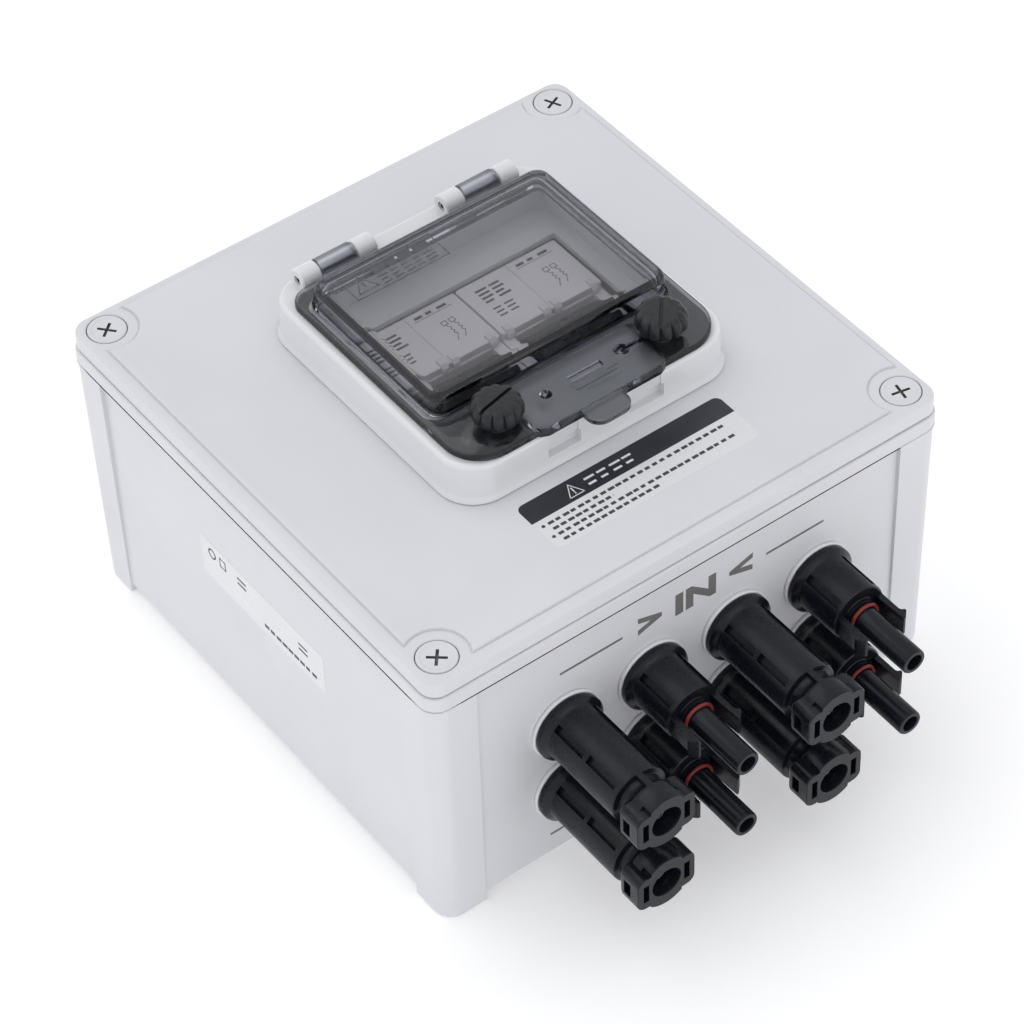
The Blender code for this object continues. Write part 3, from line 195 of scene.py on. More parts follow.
def mix_colour(tree, factor, first, second):
    """Blends two colours, each a colour value or a socket."""
    first, second = [(*c, 1) if isinstance(c, tuple) else c for c in (first, second)]
    return add_node(tree, "ShaderNodeMix", {0: factor, 6: first, 7: second},
                    data_type="RGBA").outputs[2]


def maths(tree, operation, first, second=0.0):
    return add_node(tree, "ShaderNodeMath", {0: first, 1: second}, operation=operation).outputs[0]


def noise(tree, place, scale, **inputs):
    return add_node(tree, "ShaderNodeTexNoise",
                    {"Vector": place, "Scale": scale, **inputs}).outputs["Fac"]


def object_place(tree):
    return add_node(tree, "ShaderNodeTexCoord").outputs["Object"]


print("wiring helpers ready")

# %% [markdown]
# ### Moulded surface
# Moulded plastic is never perfectly flat. Its mould leaves a fine grain, its colour drifts a
# little with the flow, and handling polishes some places more than others.

# %% Group: moulded surface
tree, gi, go = new_group("Moulded surface", {"Grain size": 0.0006, "Patch size": 0.05},
                         ("Height", "Tone", "Polish"))
place = object_place(tree)
fine = maths(tree, "DIVIDE", 1.0, gi["Grain size"])
wide = maths(tree, "DIVIDE", 1.0, gi["Patch size"])
flow = noise(tree, place, wide, Detail=4.0, Distortion=0.6)
hands = noise(tree, place, maths(tree, "MULTIPLY", wide, 2.3), Detail=6.0, Roughness=0.65)
feed(tree, go["Height"], noise(tree, place, fine, Detail=3.0, Roughness=0.6))
feed(tree, go["Tone"], remap(tree, flow, 0, 1, 0.3, 0.7))
feed(tree, go["Polish"], remap(tree, hands, 0, 1, 0.35, 0.65))
moulded_surface = tree
print(tree.name, len(tree.nodes), "nodes")

# %% [markdown]
# ### Edge wear and highlight
# Edges are touched and knocked most, so they turn a little paler. The same paler colour also
# paints a highlight along every edge, inner edges too. The Bevel node rounds the normal near an
# edge, and the angle between it and the true normal marks the edge.

# %% Group: edge wear and painted highlight
tree, gi, go = new_group("Edge wear and highlight", {"Radius": 0.0006, "Breakup": 0.004}, ("Edge",))
rounded_normal = add_node(tree, "ShaderNodeBevel", {"Radius": gi["Radius"]}, samples=4)
true_normal = add_node(tree, "ShaderNodeNewGeometry").outputs["Normal"]
facing = add_node(tree, "ShaderNodeVectorMath", {0: rounded_normal.outputs[0], 1: true_normal},
                  operation="DOT_PRODUCT").outputs["Value"]
patches = noise(tree, object_place(tree), maths(tree, "DIVIDE", 1.0, gi["Breakup"]), Detail=5.0)
# The mask marks convex and inner edges alike: partly wear, partly a painted highlight.
feed(tree, go["Edge"], maths(tree, "MULTIPLY", remap(tree, facing, 1, 0, 0.72, 0.99),
                             remap(tree, patches, 0.1, 1, 0.35, 0.65)))
edge_wear_and_highlight = tree
print(tree.name, len(tree.nodes), "nodes")

# %% [markdown]
# ### Settled dust
# A little dust lies on what faces up and in corners. A mask from the upward part of the normal,
# broken up by noise, is enough to grey the black pieces slightly.

# %% Group: settled dust
tree, gi, go = new_group("Settled dust", {"Speck size": 0.002}, ("Dust",))
normal = add_node(tree, "ShaderNodeNewGeometry").outputs["Normal"]
height = add_node(tree, "ShaderNodeSeparateXYZ", {0: normal}).outputs["Z"]
specks = noise(tree, object_place(tree), maths(tree, "DIVIDE", 1.0, gi["Speck size"]),
               Detail=8.0, Roughness=0.75)
feed(tree, go["Dust"], maths(tree, "MULTIPLY", remap(tree, height, 0, 1, 0.0, 0.9),
                             remap(tree, specks, 0, 1, 0.42, 0.75)))
settled_dust = tree
print(tree.name, len(tree.nodes), "nodes")

# %% [markdown]
# ### Drawn metal
# Rolled strip and turned pins carry fine lines along the way they were drawn. Noise that is
# stretched along one axis gives such lines.

# %% Group: drawn metal
tree, gi, go = new_group("Drawn metal", {"Stretch": (40.0, 900.0, 900.0)}, ("Lines", "Tarnish"))
place = object_place(tree)
stretched = add_node(tree, "ShaderNodeVectorMath", {0: place, 1: gi["Stretch"]},
                     operation="MULTIPLY").outputs[0]
feed(tree, go["Lines"], noise(tree, stretched, 1.0, Detail=4.0))
feed(tree, go["Tarnish"], remap(tree, noise(tree, place, 160.0, Detail=6.0), 0, 1, 0.35, 0.7))
drawn_metal = tree
print(tree.name, len(tree.nodes), "nodes")

# %% [markdown]
# ## Materials
# Every plastic on the box is the same recipe with its own values: two close colours mixed by the
# moulded surface, paler edges from wear together with a painted highlight, a little dust, and a
# bump from the grain.

# %% Plastic recipe
def start_material(name, roughness, metallic=0.0):
    mat = bpy.data.materials.new(name)
    mat.use_nodes = True
    shader = mat.node_tree.nodes["Principled BSDF"]
    shader.inputs["Roughness"].default_value = roughness
    shader.inputs["Metallic"].default_value = metallic
    return mat, mat.node_tree, shader


def use_group(tree, group, **values):
    inputs = {key.replace("_", " "): value for key, value in values.items()}
    return add_node(tree, "ShaderNodeGroup", inputs, node_tree=group).outputs


def wire_shader(tree, shader, colour, roughness, height, strength, depth):
    """Links a colour, a roughness, and a bump made from a height."""
    bump = add_node(tree, "ShaderNodeBump",
                    {"Height": height, "Strength": strength, "Distance": depth}).outputs[0]
    for key, source in (("Base Color", colour), ("Roughness", roughness), ("Normal", bump)):
        tree.links.new(source, shader.inputs[key])


def moulded(name, pale, deep, roughness, grain=0.0006, depth=0.00002, edge_wear_highlight_amount=0.35, worn_and_lit_edge=None,
            dust=0.0, patch=0.05, coat=0.0, strength=0.35, shine=0.5):
    """A moulded plastic between two colours, with worn edges that also carry a painted highlight,
    and dust.
    """
    mat, tree, shader = start_material(name, roughness)
    surface = use_group(tree, moulded_surface, Grain_size=grain, Patch_size=patch)
    colour = mix_colour(tree, surface["Tone"], deep, pale)
    # Paler edges: partly wear, partly a painted highlight along every edge.
    edge = use_group(tree, edge_wear_and_highlight, Radius=0.0005)["Edge"]
    worn_and_lit_edge = worn_and_lit_edge or tuple(min(1, c * 1.25 + 0.02) for c in pale)
    colour = mix_colour(tree, maths(tree, "MULTIPLY", edge, edge_wear_highlight_amount), colour, worn_and_lit_edge)
    if dust:
        lying = use_group(tree, settled_dust, Speck_size=0.0015)["Dust"]
        colour = mix_colour(tree, maths(tree, "MULTIPLY", lying, dust), colour, (0.45, 0.44, 0.42))
    polish = remap(tree, surface["Polish"], roughness + 0.06, roughness - 0.05)
    wire_shader(tree, shader, colour, polish, surface["Height"], strength, depth)
    shader.inputs["Specular IOR Level"].default_value = shine
    shader.inputs["Coat Weight"].default_value = coat
    shader.inputs["Coat Roughness"].default_value = 0.08
    return mat


shell = moulded("grey_shell", (0.700, 0.702, 0.735), (0.672, 0.674, 0.708), 0.44, depth=0.00003)
gloss = moulded("white_gloss", (0.745, 0.752, 0.775), (0.72, 0.727, 0.752), 0.2, grain=0.002,
                depth=0.00001, coat=0.4)
knob_black = moulded("charcoal_knob", (0.016, 0.017, 0.021), (0.012, 0.013, 0.016), 0.34,
                     edge_wear_highlight_amount=0.3, worn_and_lit_edge=(0.06, 0.06, 0.07), dust=0.04, patch=0.01, shine=0.35)
connector_black = moulded("black_connector", (0.0065, 0.0080, 0.0135), (0.005, 0.006, 0.010), 0.25,
                          edge_wear_highlight_amount=0.35, worn_and_lit_edge=(0.030, 0.034, 0.048), dust=0.015, patch=0.012,
                          grain=0.0004, shine=0.27)
handle_black = moulded("black_handle", (0.007, 0.007, 0.009), (0.005, 0.005, 0.006), 0.3,
                       edge_wear_highlight_amount=0.3, worn_and_lit_edge=(0.03, 0.03, 0.035), patch=0.01, shine=0.3)
breaker_grey = moulded("breaker_shell", (0.80, 0.755, 0.785), (0.77, 0.725, 0.755), 0.5,
                       patch=0.02)
print("six moulded plastics")

# %% [markdown]
# ### Rubber, insulation and metal
# Silicone, foam and cable insulation are softer and duller than the hard plastics. Metals get
# their colour from the shader's metallic value, and drawn lines in their roughness.

# %% Rubber, insulation and metal finishes
red_rubber = moulded("red_oring", (0.20, 0.020, 0.016), (0.16, 0.015, 0.013), 0.42, edge_wear_highlight_amount=0.1,
                     grain=0.0005, patch=0.004)
foam = moulded("grey_gasket", (0.060, 0.062, 0.072), (0.042, 0.044, 0.052), 0.8, edge_wear_highlight_amount=0.05,
               grain=0.0007, depth=0.0002, patch=0.006, strength=0.7)
pale_rubber = moulded("pale_seal", (0.80, 0.80, 0.82), (0.74, 0.74, 0.77), 0.5, edge_wear_highlight_amount=0.1,
                      patch=0.004)
red_wire = moulded("red_lead", (0.52, 0.025, 0.022), (0.40, 0.018, 0.018), 0.42, patch=0.01)
black_wire = moulded("black_lead", (0.018, 0.018, 0.020), (0.011, 0.011, 0.012), 0.42, patch=0.01)


def metal(name, pale, deep, roughness, stretch):
    mat, tree, shader = start_material(name, roughness, 1.0)
    lines = use_group(tree, drawn_metal, Stretch=stretch)
    colour = mix_colour(tree, lines["Tarnish"], pale, deep)
    # Edges turn near white: a painted highlight on the metal's edges, together with a little wear.
    edge = use_group(tree, edge_wear_and_highlight, Radius=0.0003)["Edge"]
    colour = mix_colour(tree, maths(tree, "MULTIPLY", edge, 0.4), colour, (0.9, 0.9, 0.9))
    brushed = remap(tree, lines["Lines"], roughness - 0.1, roughness + 0.14)
    wire_shader(tree, shader, colour, brushed, lines["Lines"], 0.25, 0.00002)
    return mat


zinc = metal("zinc_steel", (0.62, 0.62, 0.64), (0.42, 0.42, 0.44), 0.3, (60.0, 1400.0, 1400.0))
copper = metal("tinned_copper", (0.80, 0.50, 0.33), (0.55, 0.32, 0.22), 0.3,
               (50.0, 1200.0, 1200.0))
print("rubber, insulation and metal ready")

# %% [markdown]
# ### Smoke-grey window
# Tinted polycarbonate is clear, and only takes light away along its way through. So the shader is
# clear glass, and absorption inside the wall makes thick places and edges darker by itself. The
# latch plate has a sandblasted face in its mould, so it is the same glass with a rougher surface.

# %% Smoke-grey window finishes
def smoke(name, low, high, size, pale=(0.97, 0.975, 0.985), deep=(0.93, 0.94, 0.96)):
    mat, tree, shader = start_material(name, low)
    surface = use_group(tree, moulded_surface, Grain_size=size, Patch_size=0.02)
    wire_shader(tree, shader, mix_colour(tree, surface["Tone"], deep, pale),
                remap(tree, surface["Polish"], low, high), surface["Height"], 0.15, 0.00001)
    shader.inputs["Transmission Weight"].default_value = 1.0
    shader.inputs["IOR"].default_value = 1.5
    inside = add_node(tree, "ShaderNodeVolumeAbsorption",
                      {"Color": (0.40, 0.43, 0.50, 1), "Density": 80.0})
    tree.links.new(inside.outputs[0], tree.nodes["Material Output"].inputs["Volume"])
    return mat


smoke_clear = smoke("smoke_window", 0.02, 0.06, 0.004)
smoke_frosted = smoke("smoke_frosted", 0.28, 0.4, 0.0008, (0.87, 0.88, 0.91), (0.83, 0.84, 0.87))
# Two darker copies of the same glass, which paint shade on the dome's rounded shoulders, the
# flange's edge and the dome's sides.
smoke_rim_painted_shade = smoke("smoke_rim_painted_shade", 0.04, 0.09, 0.004, (0.24, 0.25, 0.30), (0.20, 0.21, 0.26))
smoke_side_painted_shade = smoke("smoke_side_painted_shade", 0.03, 0.07, 0.004, (0.70, 0.71, 0.76), (0.66, 0.67, 0.72))
print("clear, frosted and darker smoke ready")

# %% [markdown]
# ### Printed ink and labels
# Printing is a thin, slightly uneven layer. Each print is a very thin solid that stands a few
# hundredths of a millimetre proud, so it needs no picture and stays sharp from close up.

# %% Ink and label finishes
ink_grey = moulded("grey_ink", (0.17, 0.165, 0.165), (0.14, 0.135, 0.135), 0.5, edge_wear_highlight_amount=0.0,
                   patch=0.006)
ink_dark = moulded("dark_ink", (0.055, 0.055, 0.065), (0.035, 0.035, 0.042), 0.5, edge_wear_highlight_amount=0.0,
                   patch=0.006)
ink_white = moulded("white_ink", (0.80, 0.81, 0.82), (0.70, 0.71, 0.72), 0.5, edge_wear_highlight_amount=0.0, patch=0.006)
label_navy = moulded("navy_label", (0.013, 0.016, 0.026), (0.010, 0.013, 0.021), 0.34, edge_wear_highlight_amount=0.1,
                     patch=0.02, coat=0.1)
label_white = moulded("white_label", (0.73, 0.732, 0.76), (0.715, 0.717, 0.745), 0.3, edge_wear_highlight_amount=0.0,
                      patch=0.02, coat=0.3)
smoke_ink = moulded("moulded_mark", (0.085, 0.09, 0.105), (0.06, 0.064, 0.078), 0.35, edge_wear_highlight_amount=0.0,
                    patch=0.01)
print("inks and labels ready")

# %% [markdown]
# ## Shaping tools
# Most pieces are outlines joined at several heights, as a model maker stacks layers. A few more
# tools cut, join and round them. Everything here is in millimetres.

# %% Outlines
def mirrored(quarter):
    """Repeats a first-quadrant stretch of outline round all four quadrants."""
    back = quarter[::-1]
    return (quarter + [(-x, y) for x, y in back]
            + [(-x, -y) for x, y in quarter] + [(x, -y) for x, y in back])


def span(x0, x1, y0, y1, front=0.0, back=None, steps=8):
    """A rectangle between two pairs of edges, with its own corner radius in front and behind."""
    back = front if back is None else back
    corners = ((x1, y1, back, 0), (x0, y1, back, 1), (x0, y0, front, 2), (x1, y0, front, 3))
    points = []
    for x, y, radius, quarter in corners:
        sx = 1 if x == x1 else -1
        sy = 1 if y == y1 else -1
        for i in range(steps + 1 if radius else 1):
            angle = (quarter + (i / steps if radius else 0.5)) * pi / 2
            points.append((x - sx * radius + radius * cos(angle),
                           y - sy * radius + radius * sin(angle)))
    return points


def circle(radius, sides=48, x=0.0, y=0.0):
    return [(x + radius * cos(2 * pi * i / sides), y + radius * sin(2 * pi * i / sides))
            for i in range(sides)]


def quarter_round(ring, inset, z, radius, steps, first=1):
    """Outlines that turn a wall inwards over a rounded edge."""
    turns = [i / steps * pi / 2 for i in range(first, steps + 1)]
    return [(ring(inset + radius * (1 - cos(turn))), z + radius * sin(turn)) for turn in turns]


print("a rounded rectangle has", len(span(0, 10, 0, 10, 2)), "points")

# %% [markdown]
# A loft joins outlines of equal length into a closed body. A lathe and an extrusion are lofts of
# circles and of one repeated outline, so a single function makes most pieces.

# %% Solids from outlines
def new_object(name, bm):
    bmesh.ops.recalc_face_normals(bm, faces=bm.faces)
    mesh = bpy.data.meshes.new(name)
    bm.to_mesh(mesh)
    bm.free()
    obj = bpy.data.objects.new(name, mesh)
    bpy.context.scene.collection.objects.link(obj)
    return obj


def loft(rings, ring_shaped=False):
    """Joins outlines, each at its own height, into one closed body."""
    bm = bmesh.new()
    loops = [[bm.verts.new((x, y, z)) for x, y in outline] for outline, z in rings]
    pairs = list(zip(loops, loops[1:]))
    if ring_shaped:
        pairs.append((loops[-1], loops[0]))
    for lower, upper in pairs:
        for i in range(len(lower)):
            j = (i + 1) % len(lower)
            bm.faces.new((lower[i], lower[j], upper[j], upper[i]))
    if not ring_shaped:
        bm.faces.new(loops[0][::-1])
        bm.faces.new(loops[-1])
    return new_object("shape", bm)


def turned(profile, sides=48):
    """A lathe: radius and height pairs become circles."""
    return loft([(circle(radius, sides), z) for radius, z in profile])


AXES = {"X": Matrix(((0, 0, 1, 0), (1, 0, 0, 0), (0, 1, 0, 0), (0, 0, 0, 1))),
        "Y": Matrix(((1, 0, 0, 0), (0, 0, 1, 0), (0, 1, 0, 0), (0, 0, 0, 1))),
        "Z": Matrix.Identity(4)}


def along(obj, axis):
    """Turns a shape made along Z so that it lies along another axis."""
    obj.data.transform(AXES[axis])
    if axis == "Y":
        obj.data.flip_normals()
    return obj


def prism(outline, low, high, axis="Z"):
    return along(loft([(outline, low), (outline, high)]), axis)


def block(x0, x1, y0, y1, z0, z1):
    return prism(span(x0, x1, y0, y1), z0, z1)


def placed(obj, matrix):
    obj.data.transform(matrix)
    return obj


def at(x, y, z=0.0):
    return Matrix.Translation((x, y, z))


def cutter(profile, x, y, sides=48):
    """A turned cutter that stands at a place."""
    return placed(turned(profile, sides), at(x, y))


print("outlines can be lofted, turned and extruded")

# %% [markdown]
# Booleans cut and join shapes as milling and gluing would. Each result is made plain mesh at once,
# so no piece depends on another one later.

# %% Cutting, joining and rounding
def discard(obj):
    mesh = obj.data
    bpy.data.objects.remove(obj)
    bpy.data.meshes.remove(mesh)


def baked(obj):
    """Turns an object's live modifiers into plain mesh."""
    bpy.context.view_layer.update()
    depsgraph = bpy.context.evaluated_depsgraph_get()
    result = bpy.data.meshes.new_from_object(obj.evaluated_get(depsgraph))
    obj.modifiers.clear()
    old = obj.data
    obj.data = result
    bpy.data.meshes.remove(old)
    return obj


def joined(objects):
    """One object that holds several separate shapes."""
    bm = bmesh.new()
    for obj in objects:
        bm.from_mesh(obj.data)
        discard(obj)
    return new_object("group", bm)


def combine(target, tools, operation):
    modifier = target.modifiers.new("Boolean", "BOOLEAN")
    modifier.operation = operation
    modifier.object = joined(tools)
    tool = modifier.object
    baked(target)
    discard(tool)
    return target


def cut(target, *tools):
    return combine(target, tools, "DIFFERENCE")


def add(target, *tools):
    return combine(target, tools, "UNION")


def rounded(obj, width, segments=2, angle=30):
    """Rounds every edge sharper than the angle, and keeps the large faces looking flat."""
    modifier = obj.modifiers.new("Bevel", "BEVEL")
    modifier.width = width
    modifier.segments = segments
    modifier.limit_method = "ANGLE"
    modifier.angle_limit = radians(angle)
    modifier.use_clamp_overlap = False
    obj.data.shade_smooth()
    flat = obj.modifiers.new("Flat faces", "WEIGHTED_NORMAL")
    flat.mode = "FACE_AREA"
    flat.weight = 100
    return baked(obj)


print("cut, add and rounded are ready")

# %% [markdown]
# A finished piece is shrunk to metres, gets its material, and rides on the body that carries its
# CAD node, so it moves when the joint moves.

# %% Finished pieces
def finished(obj, name, node, finish, sharp=40, smooth=True):
    """Shrinks a shape to metres, gives it its finish and puts it on the body of its CAD node."""
    obj.name = name
    obj.data.name = name
    obj.data.transform(Matrix.Scale(0.001, 4))
    if smooth:
        obj.data.shade_smooth()
        obj.data.set_sharp_from_angle(angle=radians(sharp))
    if not obj.data.materials:
        obj.data.materials.append(finish)
    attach(obj, body_of[node])
    return obj


def stands_for(obj, node):
    """The piece replaces its CAD node, which is hidden."""
    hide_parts(node)
    return obj


def twin(obj, name, matrix, node):
    """A copy of a finished piece on another body, its place written into its mesh."""
    copy = bpy.data.objects.new(name, obj.data.copy())
    copy.data.transform(matrix)
    bpy.context.scene.collection.objects.link(copy)
    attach(copy, body_of[node])
    return copy


def box_mm(node):
    low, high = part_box(node)
    return low * 1000, high * 1000


def softened(node, finish, width=0.0, angle=35):
    """A CAD node's shape with its triangles merged into faces and its edges rounded."""
    bm = bmesh.new()
    bm.from_mesh(frame["nodes"][node].data)
    bmesh.ops.remove_doubles(bm, verts=bm.verts, dist=1e-6)
    bmesh.ops.join_triangles(bm, faces=bm.faces, angle_face_threshold=radians(0.5),
                             angle_shape_threshold=pi)
    bm.transform(Matrix.Scale(1000, 4))
    obj = new_object(node, bm)
    if width:
        rounded(obj, width, 2, angle)
    return stands_for(finished(obj, node + "_piece", node, finish, smooth=not width), node)


def printed(marks, name, node, finish):
    """Flat marks as one thin piece that rides with a CAD node."""
    finished(joined(marks), name, node, finish, smooth=False)


low, high = box_mm("lid")
print("lid from", tuple(round(v, 1) for v in low), "to", tuple(round(v, 1) for v in high), "mm")

# %% [markdown]
# ## Geometry Nodes trees
# What repeats is made by node trees with named inputs, so a reader can open the Geometry Nodes
# editor and change a count or a size. Each tree ends in Realize Instances and Set Material,
# and its result is turned into a plain mesh.

# %% Helpers for Geometry Nodes
def new_tree(name, inputs):
    tree = bpy.data.node_groups.new(name, "GeometryNodeTree")
    tree.interface.new_socket("Geometry", in_out="INPUT", socket_type="NodeSocketGeometry")
    add_inputs(tree, inputs)
    tree.interface.new_socket("Finish", in_out="INPUT", socket_type="NodeSocketMaterial")
    tree.interface.new_socket("Geometry", in_out="OUTPUT", socket_type="NodeSocketGeometry")
    return tree, tree.nodes.new("NodeGroupInput").outputs, tree.nodes.new("NodeGroupOutput")


def end_tree(tree, geometry, finish, output):
    real = add_node(tree, "GeometryNodeRealizeInstances", {0: geometry})
    painted = add_node(tree, "GeometryNodeSetMaterial",
                       {"Geometry": real.outputs[0], "Material": finish})
    tree.links.new(painted.outputs[0], output.inputs[0])


def sum_of(tree, first, second):
    return maths(tree, "ADD", first, second)


def product(tree, first, second):
    return maths(tree, "MULTIPLY", first, second)


def vector(tree, x=0.0, y=0.0, z=0.0):
    return add_node(tree, "ShaderNodeCombineXYZ", {0: x, 1: y, 2: z}).outputs[0]


def copies_at(tree, points, spot, shape, **inputs):
    """Moves loose points to their spots and puts a copy of a shape on each."""
    spread = add_node(tree, "GeometryNodeSetPosition",
                      {"Geometry": points.outputs[0], "Position": spot})
    return add_node(tree, "GeometryNodeInstanceOnPoints",
                    {"Points": spread.outputs[0], "Instance": shape.outputs[0],
                     **inputs}).outputs[0]


def grown(tree, finish, host=None, **values):
    """Runs a tree on a host object, sets its named inputs and returns plain mesh."""
    if host is None:
        host = new_object(tree.name, bmesh.new())
    modifier = host.modifiers.new(tree.name, "NODES")
    modifier.node_group = tree
    sockets = {item.name: item.identifier for item in tree.interface.items_tree
               if item.item_type == "SOCKET" and item.in_out == "INPUT"}
    for key, value in values.items():
        modifier[sockets[key.replace("_", " ")]] = value
    modifier[sockets["Finish"]] = finish
    return baked(host)


print("trees can be built, grown and turned into mesh")

# %% [markdown]
# ### Rows of bars round an axis
# The connectors have four rows of shallow slots round their bodies. The tree puts blocks in a
# line, repeats the line round the axis, and the result is used as one cutter.

# %% Tree: blocks round an axis
tree, gi, go = new_tree("Blocks round an axis", {
    "Rows": 4, "Count": 2, "Pitch": 13.8, "Start": 5.0, "Radius": 9.0, "Turn": pi / 4,
    "Size": (2.0, 2.2, 12.6)})
points = add_node(tree, "GeometryNodePoints", {"Count": product(tree, gi["Rows"], gi["Count"])})
index = add_node(tree, "GeometryNodeInputIndex").outputs[0]
row = maths(tree, "FLOOR", maths(tree, "DIVIDE", index, gi["Count"]))
step = maths(tree, "MODULO", index, gi["Count"])
angle = sum_of(tree, gi["Turn"], product(tree, row, maths(tree, "DIVIDE", 2 * pi, gi["Rows"])))
spot = vector(tree, product(tree, gi["Radius"], maths(tree, "COSINE", angle)),
              product(tree, gi["Radius"], maths(tree, "SINE", angle)),
              sum_of(tree, gi["Start"], product(tree, step, gi["Pitch"])))
cube = add_node(tree, "GeometryNodeMeshCube", {"Size": gi["Size"]})
copies = copies_at(tree, points, spot, cube, Rotation=vector(tree, 0, 0, angle))
end_tree(tree, copies, gi["Finish"], go)
round_blocks = tree
print(tree.name, len(tree.nodes), "nodes")

# %% [markdown]
# ### Flutes
# A knob is a turned shape with grooves round its edge. The tree pulls each point inwards by a
# wave that depends on its angle, and leaves the top and bottom faces alone.

# %% Tree: flutes round a turned piece
tree, gi, go = new_tree("Flutes", {"Flutes": 12, "Depth": 0.9, "Bottom": 0.0,
                                   "Inner radius": 4.5})
where = add_node(tree, "GeometryNodeInputPosition").outputs[0]
parts = add_node(tree, "ShaderNodeSeparateXYZ", {0: where}).outputs
angle = maths(tree, "ARCTAN2", parts["Y"], parts["X"])
wave = maths(tree, "SINE", product(tree, angle, maths(tree, "DIVIDE", gi["Flutes"], 2)))
groove = maths(tree, "POWER", maths(tree, "SUBTRACT", 1.0, maths(tree, "ABSOLUTE", wave)), 1.6)
flat = add_node(tree, "ShaderNodeVectorMath", {0: vector(tree, parts["X"], parts["Y"])},
                operation="LENGTH").outputs["Value"]
outside = remap(tree, flat, 0, 1, gi["Inner radius"], 7.0)
rising = remap(tree, parts["Z"], 0, 1, gi["Bottom"], sum_of(tree, gi["Bottom"], 0.8))
pull = product(tree, product(tree, groove, outside), product(tree, rising, gi["Depth"]))
inward = maths(tree, "DIVIDE", product(tree, pull, -1.0), maths(tree, "MAXIMUM", flat, 0.001))
shift = vector(tree, product(tree, parts["X"], inward), product(tree, parts["Y"], inward))
pulled = add_node(tree, "GeometryNodeSetPosition", {"Geometry": gi["Geometry"], "Offset": shift})
end_tree(tree, pulled.outputs[0], gi["Finish"], go)
flutes = tree
print(tree.name, len(tree.nodes), "nodes")

# %% [markdown]
# ### Printed lines
# Small print is not copied from anywhere. The tree lays short bars in rows, each as long as a
# random word, so from a normal distance it reads as lines of text and says nothing.

# %% Tree: printed lines
tree, gi, go = new_tree("Printed lines", {
    "Lines": 4, "Words": 8, "Width": 50.0, "Line pitch": 2.4, "Letter height": 0.9,
    "Shortest": 0.5, "Longest": 0.85, "Thickness": 0.04, "Seed": 3})
points = add_node(tree, "GeometryNodePoints", {"Count": product(tree, gi["Lines"], gi["Words"])})
index = add_node(tree, "GeometryNodeInputIndex").outputs[0]
line = maths(tree, "FLOOR", maths(tree, "DIVIDE", index, gi["Words"]))
word = maths(tree, "MODULO", index, gi["Words"])
slot_width = maths(tree, "DIVIDE", gi["Width"], gi["Words"])
share = add_node(tree, "FunctionNodeRandomValue",
                 {2: gi["Shortest"], 3: gi["Longest"], "Seed": gi["Seed"]}, data_type="FLOAT")
length = product(tree, slot_width, share.outputs[1])
spot = vector(tree, sum_of(tree, product(tree, word, slot_width), product(tree, length, 0.5)),
              product(tree, line, product(tree, gi["Line pitch"], -1.0)))
bar = add_node(tree, "GeometryNodeMeshCube")
size = vector(tree, length, gi["Letter height"], gi["Thickness"])
end_tree(tree, copies_at(tree, points, spot, bar, Scale=size), gi["Finish"], go)
print_lines = tree
print(tree.name, len(tree.nodes), "nodes")

# %% [markdown]
# ### Thread
# A thread is a ridge that follows a helix. The tree sweeps a small round section along a spiral.

# %% Tree: thread
tree, gi, go = new_tree("Thread", {"Radius": 2.0, "Pitch": 0.7, "Length": 2.0, "Start": 0.0,
                                   "Ridge": 0.2})
turns = maths(tree, "DIVIDE", gi["Length"], gi["Pitch"])
spiral = add_node(tree, "GeometryNodeCurveSpiral",
                  {"Resolution": 24, "Rotations": turns, "Start Radius": gi["Radius"],
                   "End Radius": gi["Radius"], "Height": gi["Length"]})
section = add_node(tree, "GeometryNodeCurvePrimitiveCircle",
                   {"Resolution": 6, "Radius": gi["Ridge"]})
swept = add_node(tree, "GeometryNodeCurveToMesh",
                 {"Curve": spiral.outputs[0], "Profile Curve": section.outputs[0],
                  "Fill Caps": True})
lifted = add_node(tree, "GeometryNodeTransform",
                  {"Geometry": swept.outputs[0], "Translation": vector(tree, 0, 0, gi["Start"])})
end_tree(tree, lifted.outputs[0], gi["Finish"], go)
thread = tree
print(tree.name, len(tree.nodes), "nodes")

# %% [markdown]
# ## The enclosure
# The base is a moulded tray with corner posts, recessed walls and a rim. Its CAD shape is right,
# so its edges are only rounded, as a mould's are.

# %% Base enclosure
base = softened("base_enclosure", shell, 0.45)
print("base has", len(base.data.polygons), "faces")

# %% [markdown]
# ### Lid
# The lid's outer edge is rounded with a quarter circle of outlines. Its centre panel stands
# slightly proud, and its corners are scooped out round the screws.

# %% Lid
lid_low, lid_high = box_mm("lid")
HALF = lid_high.x
BORDER = lid_high.z - 0.8
SCREWS = {n: ((box_mm(n)[0] + box_mm(n)[1]) / 2) for n in sorted(frame["nodes"])
          if n.startswith("lid_screw")}
SCREW = abs(SCREWS["lid_screw_1"].x)


def scooped(half, arc, steps=12):
    """A square whose corners are scooped out round the lid screws."""
    start = atan2(-sqrt(arc ** 2 - (half - SCREW) ** 2), half - SCREW)
    end = atan2(half - SCREW, -sqrt(arc ** 2 - (half - SCREW) ** 2)) - 2 * pi
    angles = [start + (end - start) * i / steps for i in range(steps + 1)]
    return mirrored([(SCREW + arc * cos(a), SCREW + arc * sin(a)) for a in angles])


def square(inset, radius=5.0):
    return span(-HALF + inset, HALF - inset, -HALF + inset, HALF - inset, radius - inset)


